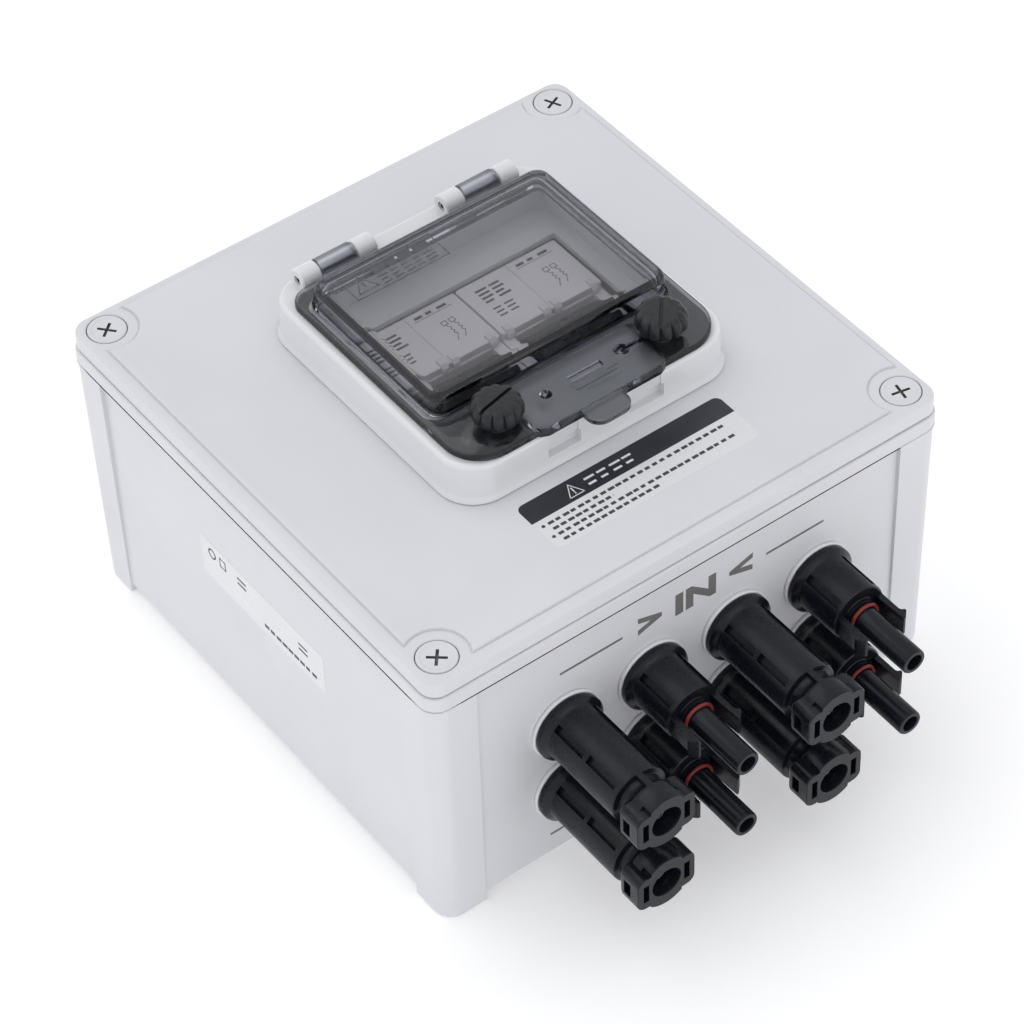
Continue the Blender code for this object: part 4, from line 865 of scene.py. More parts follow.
lid = loft([(square(0.3), lid_low.z), (square(0.0), lid_low.z + 0.3)]
           + quarter_round(square, 0.0, BORDER - 1.5, 1.5, 6, first=0))
groove = [(scooped(HALF - 2.9, 9.0), BORDER - 0.22), (scooped(HALF - 2.7, 8.8), BORDER + 0.3),
          (scooped(HALF - 5.0, 11.0), BORDER + 0.3), (scooped(HALF - 5.0, 11.0), BORDER - 0.22)]
cut(lid, loft(groove, ring_shaped=True))
panel = [(scooped(HALF - 3.3, 9.4), BORDER - 1), (scooped(HALF - 3.35, 9.45), BORDER + 0.35),
         (scooped(HALF - 3.5, 9.6), BORDER + 0.65), (scooped(HALF - 3.85, 9.95), BORDER + 0.8)]
add(lid, loft(panel))
cut(lid, prism(scooped(HALF - 3.6, 10.6), lid_low.z - 1, BORDER - 2.8))
bezel_low, bezel_high = box_mm("window_bezel")
WINDOW_X = 3.2
well_x0, well_x1 = WINDOW_X - 41.0, WINDOW_X + 41.0
well = span(well_x0, well_x1, -21.5, 38.2, 4)
cut(lid, prism(well, lid_low.z, lid_high.z + 1))
for spot in SCREWS.values():
    cut(lid, cutter([(2.3, lid_low.z - 1), (2.3, BORDER - 1.8), (6.0, BORDER - 1.8),
                     (6.0, BORDER - 0.3), (6.5, BORDER + 0.2)], spot.x, spot.y))
lid = stands_for(finished(lid, "lid_piece", "lid", shell, 30), "lid")
print("lid has", len(lid.data.polygons), "faces")

# %% [markdown]
# ### Lid screws
# Each screw has a broad plastic cap with a dished face and a cross for the driver. The faces in
# the recess get a second, dark material: painted shade in the deep cross, which also stands for
# the dark metal of the screw inside.

# %% Lid screws
cap_top = BORDER
SCREW_TURNS = {"1": 50, "2": -12, "3": 24, "4": 40}
screw = turned([(2.0, 70.7), (2.0, cap_top - 1.5), (5.5, cap_top - 1.5), (5.7, cap_top - 1.3),
                (5.7, cap_top - 0.35), (5.55, cap_top - 0.1), (5.3, cap_top), (4.9, cap_top),
                (4.6, cap_top - 0.12), (4.3, cap_top - 0.35), (3.9, cap_top - 0.42)])
for turn in (0, pi / 2):
    arm = loft([(span(-2.5, 2.5, -0.32, 0.32), cap_top - 1.35),
                (span(-3.15, 3.15, -0.54, 0.54), cap_top + 0.2)])
    cut(screw, placed(arm, Matrix.Rotation(turn, 4, "Z")))
screw.data.materials.append(shell)
recess = moulded("recess_shadow", (0.13, 0.13, 0.14), (0.09, 0.09, 0.10), 0.4, patch=0.002)
screw.data.materials.append(recess)
screw.data.materials.append(zinc)
for face in screw.data.polygons:
    spot = face.center
    if spot.z < cap_top - 1.55:
        face.material_index = 2
    # Painted shade: the faces inside the cross get the dark recess material.
    if spot.z < cap_top - 0.5 and spot.z > cap_top - 1.45 and spot.xy.length < 3.2:
        face.material_index = 1
screw = finished(screw, "lid_screw_piece_1", "lid_screw_1", shell, 30)
for node, spot in SCREWS.items():
    turn = Matrix.Rotation(radians(SCREW_TURNS[node[-1]]), 4, "Z")
    move = at(spot.x / 1000, spot.y / 1000) @ turn
    if node == "lid_screw_1":
        first_move = move
    else:
        stands_for(twin(screw, "lid_screw_piece_" + node[-1], move, node), node)
screw.data.transform(first_move)
stands_for(screw, "lid_screw_1")
print(len(SCREWS), "lid screws")

# %% [markdown]
# ## The window
# ### Bezel
# The glossy bezel leans in towards its top and flares slightly at its foot. The well, the grip
# slots and the hinge notches are cut from it, and the hinge knuckles are joined on.

# %% Bezel body
TOP = 113.2
HINGE_Y, HINGE_Z = 47.4, 114.9
HINGES = (WINDOW_X - 25, WINDOW_X + 25)
KNOBS = {"left": WINDOW_X - 28.1, "right": WINDOW_X + 28.1}
KNOB_Y = -33.7


def bezel_ring(inset):
    return span(bezel_low.x + inset, bezel_high.x - inset, -44.85 + inset, 52.65 - inset,
                12 - inset * 0.6, steps=12)


bezel = loft([
    (bezel_ring(0.15), 100.3), (bezel_ring(0.0), 100.5), (bezel_ring(0.1), 101.0),
    (bezel_ring(0.55), 101.7), (bezel_ring(0.9), 102.8), (bezel_ring(1.15), TOP - 1.5)]
    + quarter_round(bezel_ring, 1.15, TOP - 1.5, 1.5, 5))
cut(bezel, prism(well, 105, TOP + 1))
cut(bezel, prism(well, 99, 103))
cut(bezel, block(WINDOW_X - 36.5, WINDOW_X + 36.5, 3.2 - 23.2, 3.2 + 23.2, 99, TOP))
cut(bezel, *[block(x0, x1, -50, -41.6, 104.2, 108.6) for x0, x1 in ((-15.6, -4.5), (12.4, 24.2))])
cut(bezel, *[block(x0, x1, -50, -43.2, 108, 112) for x0, x1 in ((-14.6, -5.2), (13.3, 23.4))])
cut(bezel, *[block(x - 6.35, x + 6.35, 43.4, 60, 111.05, TOP + 1) for x in HINGES])
cut(bezel, *[cutter([(2.3, TOP - 5.3), (2.3, TOP + 1)], x, KNOB_Y) for x in KNOBS.values()])
print("bezel body has", len(bezel.data.polygons), "faces")

# %% [markdown]
# ### Hinge knuckles
# A knuckle is a short tube round the pin with a web down to the bezel. Its ends are chamfered, so
# it is turned on the lathe and then laid along X.

# %% Bezel knuckles
def tube_x(x0, x1, outer, chamfer=0.35):
    """A solid knuckle along X round the hinge axis."""
    shape = turned([(outer - chamfer, x0), (outer, x0 + chamfer), (outer, x1 - chamfer),
                    (outer - chamfer, x1)], 40)
    along(shape, "X")
    return placed(shape, at(0, HINGE_Y, HINGE_Z))


def hinge_bores(radius):
    return [placed(along(turned([(radius, x - 25), (radius, x + 25)], 32), "X"),
                   at(0, HINGE_Y, HINGE_Z)) for x in HINGES]


for x in HINGES:
    for side in (-1, 1):
        x0, x1 = sorted((x + side * 6.35, x + side * 12.85))
        add(bezel, tube_x(x0, x1, 3.5))
        web = prism([(HINGE_Y - 3.4, TOP - 3), (HINGE_Y + 3.4, TOP - 3), (HINGE_Y + 3.1, HINGE_Z),
                     (HINGE_Y - 3.1, HINGE_Z)], x0 + 0.35, x1 - 0.35, "X")
        add(bezel, web)
cut(bezel, *hinge_bores(1.5))
bezel = stands_for(finished(bezel, "bezel_piece", "window_bezel", gloss, 35), "window_bezel")
print("bezel with knuckles has", len(bezel.data.polygons), "faces")

# %% [markdown]
# ### Hinge pins
# A plain steel pin runs through each set of knuckles. Its ends are drilled, as on a hollow rivet.

# %% Hinge pins
for side, x in zip(("left", "right"), HINGES):
    pin = turned([(1.0, x - 12.5), (1.2, x - 12.2), (1.2, x + 12.2), (1.0, x + 12.5)], 32)
    for low, high in ((x - 13, x - 9), (x + 9, x + 13)):
        cut(pin, turned([(0.7, low), (0.7, high)], 24))
    placed(along(pin, "X"), at(0, HINGE_Y, HINGE_Z))
    node = "hinge_pin_" + side
    stands_for(finished(pin, node + "_piece", node, zinc), node)
print("two hinge pins")

# %% [markdown]
# ### Window gasket
# A dark foam gasket lies between the cover's flange and the bezel. It makes the clear flange look
# nearly black, and it stops short of the latch plate, which therefore looks paler.

# %% Window gasket
outer_edge = span(-40.0, 46.4, -42.2, 42.4, 10, 5, steps=8)
inner_edge = span(well_x0 - 0.8, well_x1 + 0.8, -22.3, 39.0, 4.5, steps=8)
gasket = loft([(inner_edge, TOP + 0.06), (outer_edge, TOP + 0.06), (outer_edge, TOP + 0.24),
               (inner_edge, TOP + 0.24)], ring_shaped=True)
cut(gasket, block(-18.6, 25.6, -50, -24.2, TOP - 1, TOP + 1))
cut(gasket, *[cutter([(2.6, TOP - 1), (2.6, TOP + 1)], x, KNOB_Y, 32) for x in KNOBS.values()])
stands_for(finished(gasket, "window_gasket", "window_seal", foam), "window_seal")
print("window gasket", round(outer_edge[0][0] * 2), "mm wide")

# %% [markdown]
# ### Smoke cover
# The cover is one moulding: a flange, a dome over the switches, a latch plate with a finger tab,
# and hinge knuckles. Clear plastic shows its inside, so the shapes are joined into one closed
# wall before the room under the dome is taken out.

# %% Cover: flange, dome and plate
LOW = TOP + 0.3


def flange_ring(inset):
    return span(-41.15 + inset, 47.55 - inset, -43.4 + inset, 43.4 - inset,
                12 - inset, 6 - inset, steps=10)


def dome_ring(inset):
    return span(well_x0 + inset, well_x1 - inset, -23 + inset, 38.2 - inset,
                4.6 - inset * 0.6, steps=8)


cover = loft([(flange_ring(0.25), LOW), (flange_ring(0.0), LOW + 0.25),
              (flange_ring(0.0), LOW + 1.5), (flange_ring(0.2), LOW + 1.9),
              (flange_ring(0.6), LOW + 2.1)])
SHOULDER, DOME = 120.6, 122.8
dome = [(dome_ring(-0.3), LOW + 1), (dome_ring(-0.3), LOW + 2.3), (dome_ring(0.05), LOW + 2.9),
        (dome_ring(0.1), LOW + 3.4), (dome_ring(0.45), SHOULDER - 0.5), (dome_ring(0.5), SHOULDER)]
add(cover, loft(dome + quarter_round(dome_ring, 0.5, SHOULDER, DOME - SHOULDER, 5)
                + [(dome_ring(3.1), DOME)]))
plate_ring = [(-19.3, -26.0), (-19.3, -41.5), (-18.3, -43.9), (-16.0, -45.0), (22.4, -45.0),
              (24.7, -43.9), (25.7, -41.5), (25.7, -26.0)]
middle = Vector((3.2, -35.5))


def shrunk(outline, amount):
    """Moves each point of an outline towards the middle of the plate."""
    return [(x - amount if x > middle.x else x + amount,
             y - amount if y > middle.y else y + amount) for x, y in outline]


add(cover, loft([(plate_ring, LOW + 0.3), (plate_ring, LOW + 3.4),
                 (shrunk(plate_ring, 0.2), LOW + 3.75), (shrunk(plate_ring, 0.5), LOW + 3.9)]))
tab = span(-5.3, 8.7, -51.9, -40.0, 4.2, 0.5, steps=8)
tab_low, tab_high = LOW + 1.1, LOW + 3.3
add(cover, loft([(shrunk(tab, 0.3), tab_low), (tab, tab_low + 0.4), (tab, tab_high - 0.4),
                 (shrunk(tab, 0.3), tab_high)]))
print("cover so far has", len(cover.data.polygons), "faces")

# %% [markdown]
# The room under the dome is cut last, with the same rounded shoulders a constant wall inside.
# Faces then get one of four smoke finishes by where they are: frosted on the latch plate's top and
# the knuckles, and two darker copies that paint shade on the rounded shoulders, the flange's edge
# and the dome's sides.

# %% Cover: room, knuckles and holes
room = [(dome_ring(2.0), LOW - 1), (dome_ring(2.0), LOW + 2), (dome_ring(2.05), LOW + 2.5),
        (dome_ring(2.45), 118.4), (dome_ring(2.5), 118.9)]
for i in range(1, 5):
    turn = i / 4 * pi / 2
    room.append((dome_ring(2.5 + 1.6 * (1 - cos(turn))), 118.9 + 1.6 * sin(turn) + 0.3 * i / 4))
room.append((dome_ring(4.5), 120.8))
cut(cover, loft(room))
for x in HINGES:
    add(cover, block(x - 5.9, x + 5.9, 41.0, HINGE_Y, LOW + 0.2, LOW + 2.0))
    add(cover, tube_x(x - 6.0, x + 6.0, 3.5, 0.3))
cut(cover, *hinge_bores(1.5))
for x in KNOBS.values():
    cut(cover, cutter([(2.3, LOW - 1), (2.3, LOW + 4)], x, KNOB_Y, 32))
cut(cover, cutter([(1.5, LOW - 1), (1.5, LOW + 3.4), (1.9, LOW + 4.2)], -9.2, -34.6, 32))
cut(cover, cutter([(2.3, LOW - 1), (2.3, LOW + 4.5)], 17.5, -33.4, 32))
cut(cover, block(17.5, 24.2, -34.6, -32.6, LOW - 1, LOW + 4.5))
cut(cover, block(-0.8, 10.4, -35.3, -32.7, LOW + 2.7, LOW + 4.5))
for x0, x1, y in ((-1.5, 13.5, -37.2), (-1.5, 12.0, -38.7), (1.0, 13.0, -40.2)):
    add(cover, block(x0, x1, y, y + 0.5, LOW + 3.5, LOW + 4.15))
for finish in (smoke_clear, smoke_frosted, smoke_rim_painted_shade, smoke_side_painted_shade):
    cover.data.materials.append(finish)
for face in cover.data.polygons:
    spot = face.center
    plate_top = spot.z > LOW + 2.8 and spot.y < -26.0 and -19.5 < spot.x < 25.9
    if plate_top and face.normal.z > 0.5 or spot.y > 43.5:
        face.material_index = 1
    # Painted shade: the dome's rounded shoulders and the flange's edge get the darkest smoke copy.
    elif spot.z > 120.4 and face.normal.z < 0.985 and -23 < spot.y < 39 and face.normal.z > -0.5:
        face.material_index = 2
    elif spot.z < LOW + 2.15 and abs(face.normal.z) < 0.9 and spot.y < 43:
        face.material_index = 2
    # Painted shade: the dome's sides get the mid-dark smoke copy.
    elif 116.5 < spot.z < 120.7 and abs(face.normal.z) < 0.3 and spot.y > -24:
        face.material_index = 3
cover = finished(cover, "cover_piece", "window_cover", smoke_clear, 32)
stands_for(cover, "window_cover")
print("cover has", len(cover.data.polygons), "faces")

# %% [markdown]
# ### Knobs and studs
# Two black knobs screw the cover down. Each is turned, then fluted by the tree above. The metal
# stud under it has a collar, and a thread swept along a helix.

# %% Knobs and studs
BOTTOM = 118.2
blank = turned([(2.3, BOTTOM + 3.8), (2.3, BOTTOM), (5.2, BOTTOM), (6.2, BOTTOM + 0.15),
                (6.9, BOTTOM + 0.6), (7.35, BOTTOM + 1.2), (7.5, BOTTOM + 1.9),
                (7.5, BOTTOM + 2.9), (7.4, BOTTOM + 3.9), (7.15, BOTTOM + 4.7),
                (6.7, BOTTOM + 5.4), (6.1, BOTTOM + 5.9), (5.4, BOTTOM + 6.15),
                (4.6, BOTTOM + 6.2)], 192)
knob = grown(flutes, knob_black, blank, Flutes=12, Depth=0.95, Bottom=BOTTOM, Inner_radius=4.4)
cut(knob, block(-8, 8, -0.55, 0.55, 123.2, 126))
stud = turned([(1.75, TOP - 4.9), (1.8, 115.8), (3.3, 115.9), (3.5, 116.1), (3.5, 117.0),
               (2.75, 117.1), (2.75, 117.85), (1.9, 117.9), (1.9, 121.6)], 40)
ridge = grown(thread, zinc, None, Radius=1.8, Pitch=0.7, Length=4.6, Start=TOP - 4.6, Ridge=0.17)
ring_thread = grown(thread, zinc, None, Radius=3.42, Pitch=0.35, Length=0.75, Start=116.2,
                    Ridge=0.09)
knob = finished(knob, "knob_left_piece", "knob_left", knob_black, 45)
stud = finished(stud, "knob_stud_left_piece", "knob_stud_left", zinc)
stud_thread = finished(joined([ridge, ring_thread]), "stud_thread_left", "knob_stud_left", zinc)
for source, stem in ((knob, "knob_%s_piece"), (stud, "knob_stud_%s_piece"),
                     (stud_thread, "stud_thread_%s")):
    twin(source, stem % "right", at(KNOBS["right"] / 1000, KNOB_Y / 1000)
         @ Matrix.Rotation(radians(50), 4, "Z"), "knob_right")
    placed(source, at(KNOBS["left"] / 1000, KNOB_Y / 1000) @ Matrix.Rotation(radians(12), 4, "Z"))
for side in ("left", "right"):
    stands_for(bpy.data.objects[f"knob_{side}_piece"], "knob_" + side)
    stands_for(bpy.data.objects[f"knob_stud_{side}_piece"], "knob_stud_" + side)
print("two knobs with", len(knob.data.polygons), "faces each")

# %% [markdown]
# ## The switches
# Two double-pole breakers snap onto the rail and show their fronts in the well. The CAD bodies
# keep their shape with rounded edges. A thin front plate, lobes beside the levers and a generic
# wiring sketch are laid on top.

# %% Breaker bodies and their fronts
BODY_FRONT = 101.2
FRONT = 103.6
BREAKERS = {"left": WINDOW_X - 17.9, "right": WINDOW_X + 17.9}


def ink_line(points, width, low, high):
    """A printed line with square ends through a few points."""
    strokes = []
    for (x0, y0), (x1, y1) in zip(points, points[1:]):
        along_line = Vector((x1 - x0, y1 - y0)).normalized() * width / 2
        side = Vector((-along_line.y, along_line.x))
        a, b = Vector((x0, y0)) - along_line, Vector((x1, y1)) + along_line
        strokes.append(prism([tuple(a - side), tuple(b - side), tuple(b + side),
                              tuple(a + side)], low, high))
    return strokes


def wiring_sketch(x, y, low, high):
    """Two terminals, two trip coils and two contacts, as on any breaker's front."""
    strokes = []
    for dx in (0, 2.6):
        left, right = x + dx - 0.8, x + dx + 0.8
        strokes += ink_line([(left, y), (right, y), (right, y - 1.6), (left, y - 1.6), (left, y)],
                            0.22, low, high)
        zigzag = [(x + dx, y - 1.6), (x + dx, y - 2.4)]
        zigzag += [(x + dx + (0.8 if i % 2 else 0), y - 2.4 - 0.75 * i) for i in range(1, 6)]
        zigzag += [(x + dx, y - 7.4), (x + dx - 0.7, y - 8.6)]
        strokes += ink_line(zigzag, 0.22, low, high)
    return strokes


front_grey = moulded("breaker_front", (0.85, 0.80, 0.825), (0.82, 0.77, 0.795), 0.42, edge_wear_highlight_amount=0.1,
                     patch=0.02)
for side, x in BREAKERS.items():
    softened("breaker_" + side, breaker_grey, 0.35)
    plate = loft([(span(x - 17.6, x + 17.6, 2.7, 25.5, 0.8), BODY_FRONT - 0.05),
                  (span(x - 17.6, x + 17.6, 2.7, 25.5, 0.8), FRONT - 0.15),
                  (span(x - 17.45, x + 17.45, 2.85, 25.35, 0.7), FRONT)])
    cut(plate, block(x - 0.12, x + 0.12, 0, 30, FRONT - 0.3, FRONT + 1))
    plate = finished(plate, "front_plate_" + side, "breaker_" + side, front_grey)
    lobes = []
    for lobe_x in (x - 14.9, x - 1.9, x + 1.9, x + 14.9):
        lobe = prism([(5.8, FRONT - 2), (5.8, FRONT + 0.2), (4.9, FRONT + 0.8), (3.1, FRONT + 0.7),
                      (1.9, FRONT - 0.6), (1.6, FRONT - 2)], lobe_x - 1.25, lobe_x + 1.25, "X")
        lobes.append(rounded(lobe, 0.4, 2, 25))
    lobes = finished(joined(lobes), "finger_lobes_" + side, "breaker_" + side, breaker_grey)
    print_low, print_high = FRONT - 0.02, FRONT + 0.04
    marks = wiring_sketch(x + 8.2, 17.4, print_low, print_high)
    marks += ink_line([(x + 1.8, 21.8), (x + 14.5, 21.8)], 0.16, print_low, print_high)
    words = [("right_words", 4, 2, 9.5, 1.75, 1.0, x - 13.4, 21.3, 3),
             ("rating_words", 3, 2, 7.5, 1.7, 0.75, x - 13.4, 12.6, 5),
             ("type_words", 1, 3, 11.5, 1.0, 1.25, x + 2.4, 23.0, 9)]
    for name, lines, count, width, pitch, height, wx, wy, seed in words:
        text = grown(print_lines, ink_dark, None, Lines=lines, Words=count, Width=width,
                     Line_pitch=pitch, Letter_height=height * 0.8, Shortest=0.5, Longest=0.85,
                     Thickness=0.05, Seed=seed)
        marks.append(placed(text, at(wx, wy, FRONT + 0.01)))
    printed(marks, "front_print_" + side, "breaker_" + side, ink_dark)
print("two breakers with plates, lobes and print")

# %% [markdown]
# ### Levers
# Each breaker has one lever for each pole, and a bar ties the two together. They are drawn
# upright round the axis, joined, rounded, and then tilted to the position for off.

# %% Breaker levers
LEVER_Y, LEVER_Z = -5.6, 96.2
side_view = [(-3.0, 0), (3.0, 0), (2.5, 7.5), (1.9, 10.6), (1.3, 11.7), (0.6, 12.0),
             (-0.6, 12.0), (-1.3, 11.7), (-1.9, 10.6), (-2.5, 7.5)]
bar_view = [(-2.1, 7.6), (2.1, 7.6), (2.0, 10.4), (1.2, 11.2), (-1.2, 11.2), (-2.0, 10.4)]
drum = [(r * cos(radians(a)), r * sin(radians(a)))
        for a, r in [(a, 7.3 if -22 <= a <= 202 else 6.0) for a in range(-160, 200, 6)]]
lever = prism(drum, -13.4, -1.0, "X")
add(lever, prism(drum, 1.0, 13.4, "X"))
add(lever, prism(circle(4.0, 32), -2, 2, "X"))
for x0, x1 in ((-13.0, -1.8), (1.8, 13.0)):
    add(lever, prism(side_view, x0, x1, "X"))
add(lever, prism(bar_view, -2.2, 2.2, "X"))
rounded(lever, 0.35, 2, 40)
placed(lever, Matrix.Rotation(radians(28), 4, "X"))
lever = finished(lever, "lever_left_piece", "breaker_handle_left", handle_black, 35)
for side, x in reversed(BREAKERS.items()):
    place = at(x / 1000, LEVER_Y / 1000, LEVER_Z / 1000)
    node = "breaker_handle_" + side
    if side == "right":
        stands_for(twin(lever, "lever_right_piece", place, node), node)
    else:
        lever.data.transform(place)
        stands_for(lever, node)
print("lever faces", len(lever.data.polygons))

# %% [markdown]
# ## Inside the box
# The rail, its screws, the busbars and the leads only show when the lid is lifted. They keep
# their CAD shapes, with merged faces and small rounded edges, and metal or rubber finishes.

# %% Rail, busbars, nuts and leads
softened("din_rail", zinc, 0.15)
for side in ("left", "right"):
    softened("rail_screw_" + side, zinc, 0.2)
for sign in ("positive", "negative"):
    softened("busbar_" + sign, copper, 0.2)
softened("lid_gasket", foam)
for node in sorted(frame["nodes"]):
    if node.endswith("_lead"):
        softened(node, red_wire if "socket" in node else black_wire)
    if node.endswith("_nut"):
        softened(node, connector_black, 0.35)
print("inside pieces done")

# %% [markdown]
# ## Panel connectors
# The sockets and plugs are turned bodies with four rows of slots, which the tree of blocks cuts.
# Sockets end in a head with two ears and latch windows. Plugs end in a tube with an O-ring
# between two springy arms. Both are drawn once, pointing up Z, and copied to their places.

# %% Connector masters
def slotted(body, count, middle, length):
    bars = grown(round_blocks, connector_black, None, Rows=4, Count=count, Pitch=13.8,
                 Start=middle, Radius=9.3, Turn=pi / 4, Size=(3.4, 2.5, length))
    return cut(body, bars)


def lathe_ring(middle, height, radius, squash=1.0, sides=64, steps=14):
    """A ring with a round section, such as an O-ring."""
    turns = [2 * pi * i / steps for i in range(steps)]
    return loft([(circle(middle + radius * cos(a), sides), height + squash * radius * sin(a))
                 for a in turns], ring_shaped=True)


tail = [(6.7, -13.3), (7.1, -12.9), (7.1, 1.3), (10.5, 1.3), (10.85, 1.6), (10.9, 2.0),
        (10.9, 3.1), (10.75, 3.5), (9.6, 4.3), (9.25, 4.6)]
socket = turned(tail + [(9.1, 5.0), (9.1, 32.2), (8.95, 32.7), (8.6, 32.9), (7.5, 32.9),
                        (7.2, 33.1), (7.1, 33.5), (7.1, 35.6), (7.5, 36.3), (8.3, 37.0),
                        (8.7, 37.6), (8.8, 38.4), (8.8, 44.2), (8.6, 44.6)], 72)
ears = loft([(span(-9.4, 9.4, -5.6, 5.6, 2.4), 36.6), (span(-9.8, 9.8, -6.2, 6.2, 2.8), 37.4),
             (span(-9.8, 9.8, -6.2, 6.2, 2.8), 44.3), (span(-9.55, 9.55, -5.95, 5.95, 2.6), 44.6)])
add(socket, ears)
slotted(socket, 2, 11.1, 12.3)
tools = [turned([(3.1, 31.0), (3.1, 33.5), (4.75, 34.0), (4.75, 44.2), (5.1, 45.0)], 56)]
for side in (-1, 1):
    x0, x1 = sorted((side * 6.0, side * 7.9))
    tools.append(block(x0, x1, -3.3, 3.3, 38.6, 45.0))
    x0, x1 = sorted((side * 7.5, side * 10.5))
    tools.append(block(x0, x1, -2.6, 2.6, 38.4, 41.2))
    for end in (-1, 1):
        y0, y1 = sorted((end * 6.0, end * 9.0))
        x0, x1 = sorted((side * 5.2, side * 6.6))
        tools.append(block(x0, x1, y0, y1, 41.2, 45.0))
cut(socket, *tools)
pin_cap = turned([(2.2, 31.0), (2.2, 40.5), (1.6, 41.3)], 32)
cut(pin_cap, turned([(1.3, 35.0), (1.3, 42.0)], 24))
add(socket, block(-0.9, 0.9, 6.5, 8.6, 32.6, 38.0))
plug = turned(tail + [(9.1, 5.0), (9.1, 18.2), (8.95, 18.9), (8.6, 19.2), (5.5, 19.2),
                      (5.3, 19.4), (5.3, 20.4), (4.2, 20.8), (4.0, 21.0), (4.0, 27.0),
                      (3.9, 27.3), (3.9, 42.1), (3.65, 42.55), (3.3, 42.6)], 72)
slotted(plug, 1, 11.2, 13.2)
cut(plug, turned([(2.45, 30.6), (2.45, 42.1), (2.75, 43.0)], 40))
for side in (-1, 1):
    profile = [(5.9, 16.4), (7.9, 16.4), (7.9, 26.8), (8.2, 27.5), (9.1, 28.0), (9.0, 28.7),
               (7.2, 30.5), (6.5, 30.6), (6.3, 27.5)]
    if side < 0:
        profile = [(-x, z) for x, z in profile[::-1]]
    add(plug, prism(profile, -3.2, 3.2, "Y"))
print("socket", len(socket.data.polygons), "faces; plug", len(plug.data.polygons), "faces")

# %% [markdown]
# ### Seals, rings and contacts
# The connectors need small parts too: a seal at the wall, an O-ring, a thread and a metal pin.

# %% Connector small parts
seal = turned([(7.4, 0.05), (11.0, 0.05), (11.25, 0.35), (11.25, 1.05), (11.0, 1.28),
               (7.4, 1.28)], 72)
oring = lathe_ring(4.56, 21.6, 0.56, 1.05)
ridge = grown(thread, connector_black, None, Radius=7.15, Pitch=1.5, Length=10.4, Start=-13.1,
              Ridge=0.32)
socket = finished(socket, "socket_master", "input_socket_1", connector_black, 35)
plug = finished(plug, "plug_master", "input_plug_1", connector_black, 35)
seal = finished(seal, "seal_master", "input_socket_1", pale_rubber)
oring = finished(oring, "oring_master", "input_oring_1", red_rubber, 60)
ridge = finished(ridge, "thread_master", "input_socket_1", connector_black)
pin_cap = finished(pin_cap, "contact_master", "input_socket_1", zinc)
print("seal, O-ring, thread and contact ready")

# %% [markdown]
# ### Connectors in their places
# The CAD boxes say where each connector sits. Masters are copied there and then thrown away.

# %% Place the connectors
WALL = 86.4
connector_nodes = [n for n in sorted(frame["nodes"])
                   if ("_socket" in n or "_plug" in n) and not n.endswith(("_nut", "_lead"))]
for node in connector_nodes:
    low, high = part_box(node)
    side = 1 if (low.y + high.y) > 0 else -1
    turn = Matrix.Rotation(0 if side < 0 else pi, 4, "Z") @ Matrix.Rotation(pi / 2, 4, "X")
    place = at((low.x + high.x) / 2, side * WALL / 1000, (low.z + high.z) / 2) @ turn
    if "socket" in node:
        stands_for(twin(socket, node + "_piece", place, node), node)
        twin(pin_cap, node + "_contact", place, node)
    else:
        stands_for(twin(plug, node + "_piece", place, node), node)
        oring_node = node.replace("plug", "oring")
        stands_for(twin(oring, oring_node + "_piece", place, oring_node), oring_node)
    twin(seal, node + "_wall_seal", place, node)
    twin(ridge, node + "_thread", place, node)
for master in (socket, plug, seal, oring, ridge, pin_cap):
    discard(master)
print(len(connector_nodes), "panel connectors placed")

# %% [markdown]
# ## Print and labels
# The lid has a dark band with a pale triangle over rows of small print. The input wall has grey
# lettering between two rules, and one side has a small sticker. Every print is a thin solid.

# %% Lid label
LID = 100.0
INK = (LID + 0.05, LID + 0.1)
band = loft([(span(-32, 37.9, -57.8, -50.2, 0.0, 2.2), LID - 0.02),
             (span(-32, 37.9, -57.8, -50.2, 0.0, 2.2), LID + 0.06)])
finished(band, "label_band", "lid", label_navy, smooth=False)
film = loft([(span(-32, 37.9, -69.5, -57.8, 2.2, 0.0), LID - 0.02),
             (span(-32, 37.9, -69.5, -57.8, 2.2, 0.0), LID + 0.05)])
finished(film, "label_film", "lid", label_white, smooth=False)
triangle = [(-17.9, -56.4), (-13.1, -56.4), (-15.5, -51.8)]
marks = ink_line(triangle + triangle[:1], 0.28, *INK)
marks += ink_line([(-15.5, -53.4), (-15.5, -54.9)], 0.4, *INK)
marks += ink_line([(-15.5, -55.5), (-15.5, -55.6)], 0.4, *INK)
for index, length in enumerate((2.6, 2.2, 2.9, 2.3)):
    x = -10.4 + index * 4.3
    marks += ink_line([(x, -53.0), (x + length, -53.0)], 0.75, *INK)
    marks += ink_line([(x, -55.2), (x + length * 0.7, -55.2)], 0.75, *INK)
printed(marks, "label_sign", "lid", ink_white)
small_print = grown(print_lines, ink_dark, None, Lines=4, Words=24, Width=61.0, Line_pitch=2.35,
                    Letter_height=1.0, Shortest=0.55, Longest=0.84, Thickness=0.05, Seed=4)
placed(small_print, at(-28.4, -60.2, LID + 0.06))
cut(small_print, block(-8, 40, -63.9, -61.4, LID - 1, LID + 1),
    block(4, 40, -68.9, -66.0, LID - 1, LID + 1))
bullets = [prism(circle(0.55, 20, -30.0, y), LID + 0.03, LID + 0.09) for y in (-60.2, -64.9)]
printed([small_print] + bullets, "label_small_print", "lid", ink_dark)
print("lid label done")

# %% [markdown]
# ### Wall lettering
# The real walls name their purpose in large grey letters. Plain generic letters take their place.

